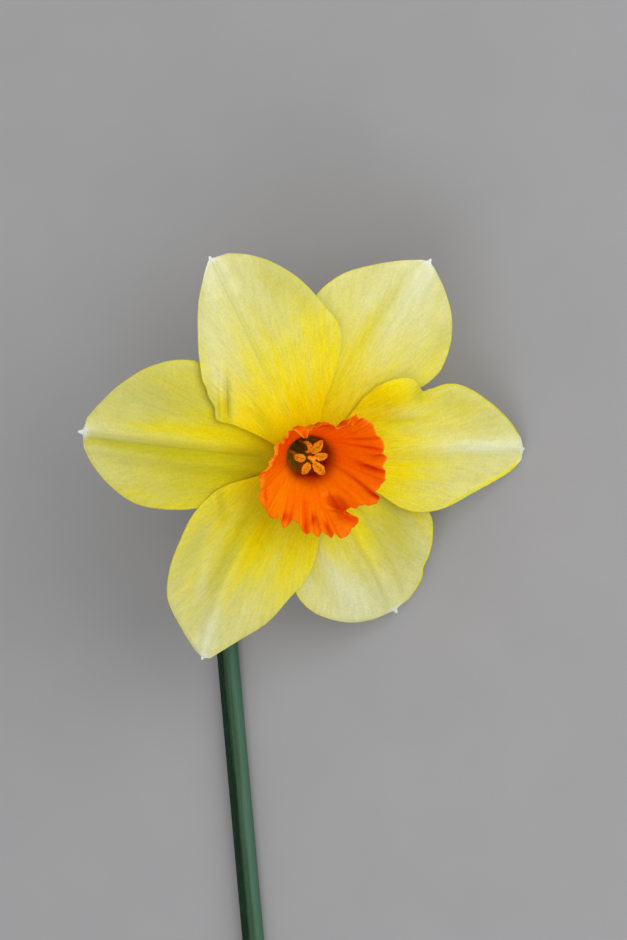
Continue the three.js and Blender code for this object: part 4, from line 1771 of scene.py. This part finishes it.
# ---- Tube, stamens and pistil ----
@dataclass(frozen=True)
class FlowerTube:
    """The green ovary and the tube above it, one wall from its foot to the throat and down inside."""

    outside: tuple[tuple[float, float], ...] = (
        (1.7, -27.6), (3.0, -26.1), (3.7, -23.6), (3.75, -21.6), (3.2, -19), (2.7, -16.8),
        (2.75, -13), (3.3, -8), (4.4, -3.6), (5.3, -1.4), (5.75, -0.35),
    )
    inside: tuple[tuple[float, float], ...] = (
        (5.3, -0.35), (4.7, -1.7), (3.6, -4.4), (2.5, -8.6), (1.9, -13), (1.2, -15),
    )
    ovary_top: float = -18.0
    outside_share: float = 0.62

    def point(self, a: float, b: float) -> Vector:
        """Reads the wall.

        Args:
            a: The place, from 0, up the outside and then down the inside, to 1.
            b: The place round, from 0 to 1.

        Returns:
            The point in the cup's frame.
        """
        angle = 2 * math.pi * b
        share = self.outside_share
        if a <= share:
            profile, t = self.outside, a / share
        else:
            profile, t = self.inside, (a - share) / (1 - share)
        radius = spline([p[0] for p in profile], t)
        height = spline([p[1] for p in profile], t)
        if a <= share:
            lobes = 1 - smooth(self.ovary_top - 1.5, self.ovary_top + 1.5, height)
            radius *= 1 + 0.05 * lobes * math.cos(3 * angle)
        radius += 0.04 * math.sin(18 * angle) * (1 - smooth(-2, 0, height))
        return Vector((radius * math.cos(angle), radius * math.sin(angle), height))

    def yellow(self, a: float, b: float) -> float:
        """Returns how yellow the skin is, which grows from the ovary to the tepals."""
        return smooth(-14, -3, self.point(a, b).z)

    def inner(self, a: float, _b: float) -> float:
        """Returns 1 inside the tube, and 0 outside."""
        return smooth(self.outside_share, self.outside_share + 0.1, a)

    def shaded_lip(self, a: float, b: float) -> float:
        """Returns how strong the painted shade is, a dark red, which is most on the lower right of the lip.
        """
        return (0.5 + 0.5 * math.cos(2 * math.pi * b + SHADED_SIDE)) * window(a, 0.55, 0.72, 0.12)

    def build(self, carriage: Carriage) -> Piece:
        """Makes, dresses and registers the tube with its ovary.

        Args:
            carriage: How the head is carried.

        Returns:
            The finished piece.
        """
        marks = {"yellow": self.yellow, "inside": self.inner, "shaded_lip": self.shaded_lip}
        sheet = Sheet(self.point, 150, 96, carriage.cup(), rolled=True, capped=True, marks=marks)
        piece = sheet.build("flower_tube_and_ovary")
        register(piece, ["flower_tube"], TubeFinish().build())
        return piece


@dataclass(frozen=True)
class Stamen:
    """An anther over a filament. The anther runs from its inner end past a control point to its outer."""

    number: int
    path: tuple[tuple[float, float, float], ...]
    root_bearing: float
    half_width: float = 1.2
    half_depth: float = 0.5
    web: float = 0.0
    filament_radius: float = 0.35
    root_radius: float = 2.75
    root_height: float = -4.5
    gap: float = 0.3

    def middle(self, t: float) -> Vector:
        """Returns the anther's middle line, from its inner end to its outer."""
        return Vector([spline([point[k] for point in self.path], t) for k in range(3)])

    def edge(self, _a: float, b: float) -> float:
        """Returns how near a place is to the edges of the pollen sacs."""
        return 0.9 * bell(math.sin(2 * math.pi * b), 0.45)

    def anther(self, carriage: Carriage) -> Piece:
        """Makes the anther: two split pollen sacs with a dished face between their edges.

        Args:
            carriage: How the head is carried.

        Returns:
            The finished piece.
        """

        def section(t: float, angle: float) -> float:
            """Works out the anther's radius: a flat oval, dished above, ragged at its edges.

            Args:
                t: The place along, from 0 to 1.
                angle: The angle round, in radians.

            Returns:
                The radius in millimetres.
            """
            end = (math.sin(math.pi * mix(0.07, 0.975, t**0.9)) ** 0.8) * mix(0.8, 1.05, t)
            upper = smooth(0.0, 0.3, math.sin(angle))
            dish = 1 - 0.75 * upper * bell(math.cos(angle), 0.55)
            side = self.half_width + self.web * max(0.0, -math.cos(angle)) * math.sin(math.pi * t)
            oval = math.hypot(math.cos(angle) / side, math.sin(angle) / self.half_depth)
            ragged = 1 + 0.24 * grain(t * 7, math.cos(angle) * 2, self.number) * abs(math.cos(angle))
            coarse = 0.06 * grain(t * 20, angle * 4, self.number)
            grains = 1 + coarse + 0.05 * grain(t * 44, angle * 9, self.number)
            return end * dish * ragged * grains / oval

        flat = Vector((0, 0, 1)).cross(self.middle(0.3) - self.middle(0))
        surface = rod_surface(self.middle, section, flat, 60)
        sheet = Sheet(surface, 60, 56, carriage.cup(), rolled=True, capped=True, marks={"edge": self.edge})
        piece = sheet.build(f"anther_{self.number}_sacs")
        register(piece, [f"anther_{self.number}"], PollenFinish().build())
        return piece

    def rise(self, a: float, _b: float) -> float:
        """Returns how far up the filament a place is."""
        return a

    def filament(self, carriage: Carriage) -> Piece:
        """Makes the filament, from the tube's wall to just under the anther.

        Args:
            carriage: How the head is carried.

        Returns:
            The finished piece.
        """
        bearing = math.radians(self.root_bearing)
        foot = Vector((math.cos(bearing), math.sin(bearing), 0)) * self.root_radius
        foot.z = self.root_height
        head = self.middle(0.5)
        head.z -= self.half_depth + self.gap
        bend = foot.lerp(head, 0.6)
        bend.z = mix(foot.z, head.z, 0.4)

        def section(t: float, angle: float) -> float:
            """Returns the filament's radius, slimmer towards the anther."""
            lumpy = 1 + 0.06 * grain(t * 9, angle * 2, self.number)
            return self.filament_radius * mix(1.0, 0.75, t) * lumpy

        surface = rod_surface(partial(bezier, [foot, bend, head]), section, Vector((1, 0, 0)), 24)
        sheet = Sheet(surface, 24, 18, carriage.cup(), rolled=True, capped=True, marks={"rise": self.rise})
        piece = sheet.build(f"filament_{self.number}_thread")
        finish = FleshFinish(f"filament_{self.number}_flesh", (0.34, 0.13, 0.012), (0.62, 0.20, 0.02))
        register(piece, [f"filament_{self.number}"], finish.build())
        return piece


@dataclass(frozen=True)
class Pistil:
    """A slender style with a three-lobed stigma over the anthers."""

    foot: tuple[float, float, float] = (0, 0, -14)
    top: tuple[float, float, float] = (0.35, 0.45, 3.5)
    style_radius: float = 0.42
    stigma_radius: float = 0.58
    lobes: tuple[tuple[float, float], ...] = ((150, 0.65), (20, 0.55), (-65, 0.70))

    def rise(self, a: float, _b: float) -> float:
        """Returns how stigma-like the flesh is, which grows near the top."""
        return smooth(0.7, 0.95, a)

    def build(self, carriage: Carriage) -> Piece:
        """Makes, dresses and registers the pistil.

        Args:
            carriage: How the head is carried.

        Returns:
            The finished piece.
        """

        def section(t: float, angle: float) -> float:
            """Works out the radius: a rod that spreads into three frilled lobes at its top.

            Args:
                t: The place along, from 0 to 1.
                angle: The angle round, in radians.

            Returns:
                The radius in millimetres.
            """
            spread = smooth(0.88, 0.97, t)
            reach = 0.0
            for bearing, length in self.lobes:
                away = (angle - math.radians(bearing) + math.pi) % (2 * math.pi) - math.pi
                reach += length * bell(away, 0.55)
            frill = 1 + 0.16 * grain(angle * 3, t * 9, 21) + 0.10 * grain(angle * 8, t * 20, 22)
            dome = math.sqrt(max(0.03, 1 - smooth(0.955, 1.0, t) ** 2 * 0.85))
            return mix(self.style_radius, (self.stigma_radius + reach) * frill * dome, spread)

        path = [Vector(self.foot), Vector(self.top)]
        surface = rod_surface(partial(bezier, path), section, Vector((1, 0, 0)), 150)
        sheet = Sheet(surface, 150, 60, carriage.cup(), rolled=True, capped=True, marks={"rise": self.rise})
        piece = sheet.build("pistil_style_and_stigma")
        finish = FleshFinish("pistil_flesh", (0.46, 0.14, 0.002), (0.80, 0.30, 0.004))
        register(piece, ["pistil"], finish.build())
        return piece


@dataclass(frozen=True)
class Throat:
    """What stands in the throat: the tube, six stamens and the pistil."""

    tube: FlowerTube = FlowerTube()
    pistil: Pistil = Pistil()
    stamens: tuple[Stamen, ...] = (
        Stamen(
            1,
            (
                (-1.5, 4.35, 1.9), (-0.75, 4.35, 2.6), (-0.1, 3.7, 2.9),
                (0.0, 2.75, 2.9), (-0.6, 2.0, 2.6), (-1.2, 2.2, 2.2),
            ),
            112, half_width=0.42, half_depth=0.42, web=0.5,
        ),
        Stamen(2, ((0.15, 1.8, 2.4), (1.0, 2.5, 2.5), (1.95, 3.35, 2.4), (2.95, 4.3, 1.9)), 55),
        Stamen(
            3, ((-1.15, 0.4, 2.5), (-1.9, 0.6, 2.5), (-2.8, 0.85, 2.3), (-3.7, 1.15, 1.8)), 163, 1.05,
            root_radius=4.0, root_height=-1.9, filament_radius=0.45,
        ),
        Stamen(4, ((0.8, 0.75, 2.5), (1.9, 0.75, 2.6), (3.1, 0.7, 2.3), (4.2, 0.65, 1.9)), 8, 1.05),
        Stamen(5, ((-0.45, -0.5, 2.5), (-0.8, -1.5, 2.5), (-1.15, -2.5, 2.2), (-1.75, -3.4, 1.8)), 243, 1.1),
        Stamen(6, ((0.8, -0.55, 2.4), (1.55, -1.6, 2.5), (2.5, -2.75, 2.2), (3.4, -3.8, 1.8)), 311),
    )

    def build(self, carriage: Carriage) -> list[Piece]:
        """Makes every piece of the throat.

        Args:
            carriage: How the head is carried.

        Returns:
            The finished pieces.
        """
        pieces = [self.tube.build(carriage), self.pistil.build(carriage)]
        for stamen in self.stamens:
            pieces += [stamen.anther(carriage), stamen.filament(carriage)]
        return pieces


# ---- Stem and spathe ----
@dataclass(frozen=True)
class Stem:
    """The hollow keeled scape lying flat, and the bent neck that carries the ovary."""

    scape_x: float = -39.0
    scape_top_y: float = -6.0
    scape_length: float = 172.0
    half_width: float = 2.55
    half_height: float = 2.3
    flat: float = 0.28
    keel: float = 0.3
    keel_bearing: float = 79.0
    lumen_radius: float = 1.25
    neck_radius: float = 1.75
    neck_handles: tuple[float, float] = (20.0, 15.0)
    ovary_foot: float = -27.0
    gap: float = 0.3
    lumen_rows: int = 6
    scape_rows: int = 60
    neck_rows: int = 60

    def scape_radius(self, angle: float) -> float:
        """Works out the scape's section: an oval with a keel, ribs and a flat underside.

        Args:
            angle: The angle from +X round to +Z, in radians.

        Returns:
            The radius in millimetres.
        """
        oval = 1 / math.hypot(math.cos(angle) / self.half_width, math.sin(angle) / self.half_height)
        offset = (angle - math.radians(self.keel_bearing) + math.pi) % (2 * math.pi) - math.pi
        ridge = self.keel * bell(offset, 0.2)
        hollow = 0.22 * bell(offset - 0.55, 0.3) + 0.10 * bell(offset + 0.5, 0.25)
        ribs = 0.03 * math.cos(22 * angle)
        radius = oval + ridge - hollow + ribs
        if math.sin(angle) < 0:
            radius = min(radius, (self.half_height - self.flat) / -math.sin(angle))
        return radius

    def build(self, carriage: Carriage) -> Piece:
        """Makes, dresses and registers the stem.

        Args:
            carriage: How the head is carried.

        Returns:
            The finished piece.
        """
        throat = carriage.throat
        top = Vector((throat.x + self.scape_x, throat.y + self.scape_top_y, self.half_height - self.flat))
        cut = top - Vector((0, self.scape_length, 0))
        back = (carriage.bloom().to_3x3() @ -carriage.axis()).normalized()
        ovary = carriage.cup() @ Vector((0, 0, self.ovary_foot - self.gap))
        handles = [top + Vector((0, self.neck_handles[0], 0)), ovary + back * self.neck_handles[1]]
        neck = [top, *handles, ovary]

        def neck_section(t: float, angle: float) -> float:
            """Returns the neck's radius: the scape's section, soon round."""
            slim = self.neck_radius + 0.2 * t**6
            return mix(self.scape_radius(-angle), slim, smooth(0, 0.35, t))

        neck_skin = rod_surface(partial(bezier, neck), neck_section, Vector((1, 0, 0)), self.neck_rows)
        total = self.lumen_rows + self.scape_rows + self.neck_rows

        def surface(a: float, b: float) -> Vector:
            """Reads the skin, from inside the lumen, over the cut and up the scape to the ovary.

            Args:
                a: The place along, from 0 to 1.
                b: The place round, from 0 to 1.

            Returns:
                The point in the row's frame.
            """
            row = round(a * total)
            angle = -2 * math.pi * b
            if row < self.lumen_rows:
                depth = (1 - row / (self.lumen_rows - 1)) * self.scape_length * 0.9
                centre, radius = cut + Vector((0, depth, 0)), self.lumen_radius
            elif row < self.lumen_rows + self.scape_rows:
                share = (row - self.lumen_rows) / self.scape_rows
                centre, radius = cut.lerp(top, share), self.scape_radius(angle)
            else:
                return neck_skin((row - self.lumen_rows - self.scape_rows) / self.neck_rows, b)
            return centre + Vector((math.cos(angle), 0, math.sin(angle))) * radius

        def cut_face(a: float, _b: float) -> float:
            """Returns 1 on the cut face and inside the lumen."""
            return 1.0 if round(a * total) < self.lumen_rows else 0.0

        def shaded_flank(_a: float, b: float) -> float:
            """Returns a value for the painted shading: low on the flank beside the keel that is turned from
            the light, and high on the lit side.
            """
            return 0.5 + 0.5 * math.cos(2 * math.pi * b)

        def young(a: float, _b: float) -> float:
            """Returns how young and yellowish the skin is, which grows towards the ovary."""
            return 0.8 * smooth((total - self.neck_rows * 0.45) / total, 1.0, a)

        marks = {"cut": cut_face, "shaded_flank": shaded_flank, "young": young}
        sheet = Sheet(surface, total, 88, Matrix.Identity(4), rolled=True, capped=True, marks=marks)
        piece = sheet.build("stem_scape_and_neck")
        register(piece, ["stem"], StemFinish().build())
        return piece


@dataclass(frozen=True)
class Spathe:
    """The dry sheath that covered the bud, wrapped round the scape's top and split beside the neck."""

    path: tuple[tuple[float, float, float], ...] = ((-39, -10, 2.7), (-39, 6, 3.0), (-35.5, 18.5, 5.6))
    radii: tuple[float, ...] = (3.35, 3.8, 4.1, 3.4, 2.2)
    opening: tuple[tuple[float, float], ...] = ((-5, 205), (35, 208), (70, 206), (88, 196), (118, 158))
    thickness: float = 0.22

    def build(self, carriage: Carriage) -> Piece:
        """Makes, dresses and registers the spathe.

        Args:
            carriage: How the head is carried.

        Returns:
            The finished piece.
        """
        throat = Vector((carriage.throat.x, carriage.throat.y, 0))
        path = [throat + Vector(point) for point in self.path]

        def surface(a: float, b: float) -> Vector:
            """Reads the sheath, whose wrinkles run along it.

            Args:
                a: The place along, from 0 to 1.
                b: The place round, from 0 to 1.

            Returns:
                The point in the row's frame.
            """
            edges = [spline([pair[k] for pair in self.opening], a) for k in (0, 1)]
            angle = math.radians(mix(edges[1], edges[0], b))
            wrinkle = 0.22 * grain(b * 7, a * 1.6, 31) + 0.10 * grain(b * 19, a * 3, 32)
            radius = spline(self.radii, a) + wrinkle * smooth(0.05, 0.3, a)
            return bezier(path, a) + Vector((math.cos(angle), 0, math.sin(angle))) * radius

        piece = Sheet(surface, 70, 60, Matrix.Identity(4)).build("spathe_sheath")
        thicken(piece, self.thickness)
        register(piece, ["spathe"], PaperFinish().build())
        return piece


# ---- Studio ----
@dataclass(frozen=True)
class Lamp:
    """A square soft light, placed in metres from the throat along the bloom's own axes."""

    name: str
    offset: tuple[float, float, float]
    power: float
    size: float = 1.2

    def build(self, target: Vector, axes: Matrix) -> None:
        """Adds the light.

        Args:
            target: The point that it faces, in metres.
            axes: The directions of its offset.
        """
        data = bpy.data.lights.new(self.name, "AREA")
        data.size = self.size
        data.energy = self.power
        light = bpy.data.objects.new(self.name, data)
        light.location = target + axes @ Vector(self.offset)
        light.rotation_euler = (target - light.location).to_track_quat("-Z", "Y").to_euler()
        bpy.context.scene.collection.objects.link(light)


@dataclass(frozen=True)
class Studio:
    """A pale floor, soft lights and the camera that looks down on the bloom."""

    camera_distance: float = 1200.0
    camera_offset: tuple[float, float] = (1.24, -2.93)
    frame_height: float = 212.16
    sensor: float = 36.0
    floor_size: float = 6.0
    floor_colour: Colour = (0.30, 0.297, 0.304)
    speck_colour: Colour = (0.6, 0.6, 0.6)
    sky_strength: float = 0.60
    lamps: tuple[Lamp, ...] = (Lamp("key", (0.7, 0.42, 1.3), 17.0), Lamp("fill", (-0.3, -0.8, 1.3), 6.3))

    def place_camera(self, carriage: Carriage) -> None:
        """Looks square at the bloom from in front of it.

        Args:
            carriage: How the head is carried.
        """
        data = bpy.data.cameras.new("camera")
        data.sensor_width = self.sensor
        data.lens = self.sensor * self.camera_distance / self.frame_height
        data.clip_end = 20
        camera = bpy.data.objects.new("camera", data)
        seat = carriage.bloom() @ Matrix.Translation((*self.camera_offset, self.camera_distance))
        seat.translation *= MM
        camera.matrix_world = seat
        bpy.context.scene.collection.objects.link(camera)
        bpy.context.scene.camera = camera

    def place_floor(self) -> None:
        """Lays the plain floor that the flower rests on."""
        bm = bmesh.new()
        bmesh.ops.create_grid(bm, x_segments=1, y_segments=1, size=self.floor_size / 2)
        floor = make_object("floor", bm)
        tree = Tree("floor_paint")
        speck = tree.noise(tree.coordinates("Object"), 40, 2.0)
        colour = tree.blend(tree.remap(speck, (*NOISE_SPAN, 0.0, 0.04)), self.floor_colour, self.speck_colour)
        floor.data.materials.append(tree.skin(colour, tree.bump(speck, 0.01, 0.1), 0.9, 0.1, 0.0))

    def build(self, carriage: Carriage) -> None:
        """Sets up the whole studio.

        Args:
            carriage: How the head is carried.
        """
        scene = bpy.context.scene
        scene.view_settings.view_transform = "Standard"
        world = bpy.data.worlds.new("soft_sky")
        world.use_nodes = True
        background = world.node_tree.nodes["Background"]
        background.inputs["Color"].default_value = (1, 1, 1, 1)
        background.inputs["Strength"].default_value = self.sky_strength
        scene.world = world
        for lamp in self.lamps:
            lamp.build(carriage.throat * MM, carriage.bloom().to_3x3())
        self.place_camera(carriage)
        self.place_floor()


def main() -> None:
    """Builds the studio and the flower, in order."""
    logging.basicConfig(level=logging.INFO, format="%(name)s: %(message)s")
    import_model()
    carriage = Carriage()
    for assembly in (Studio(), Perianth(), Corona(), Throat(), Stem(), Spathe()):
        assembly.build(carriage)


if __name__ == "__main__":
    main()
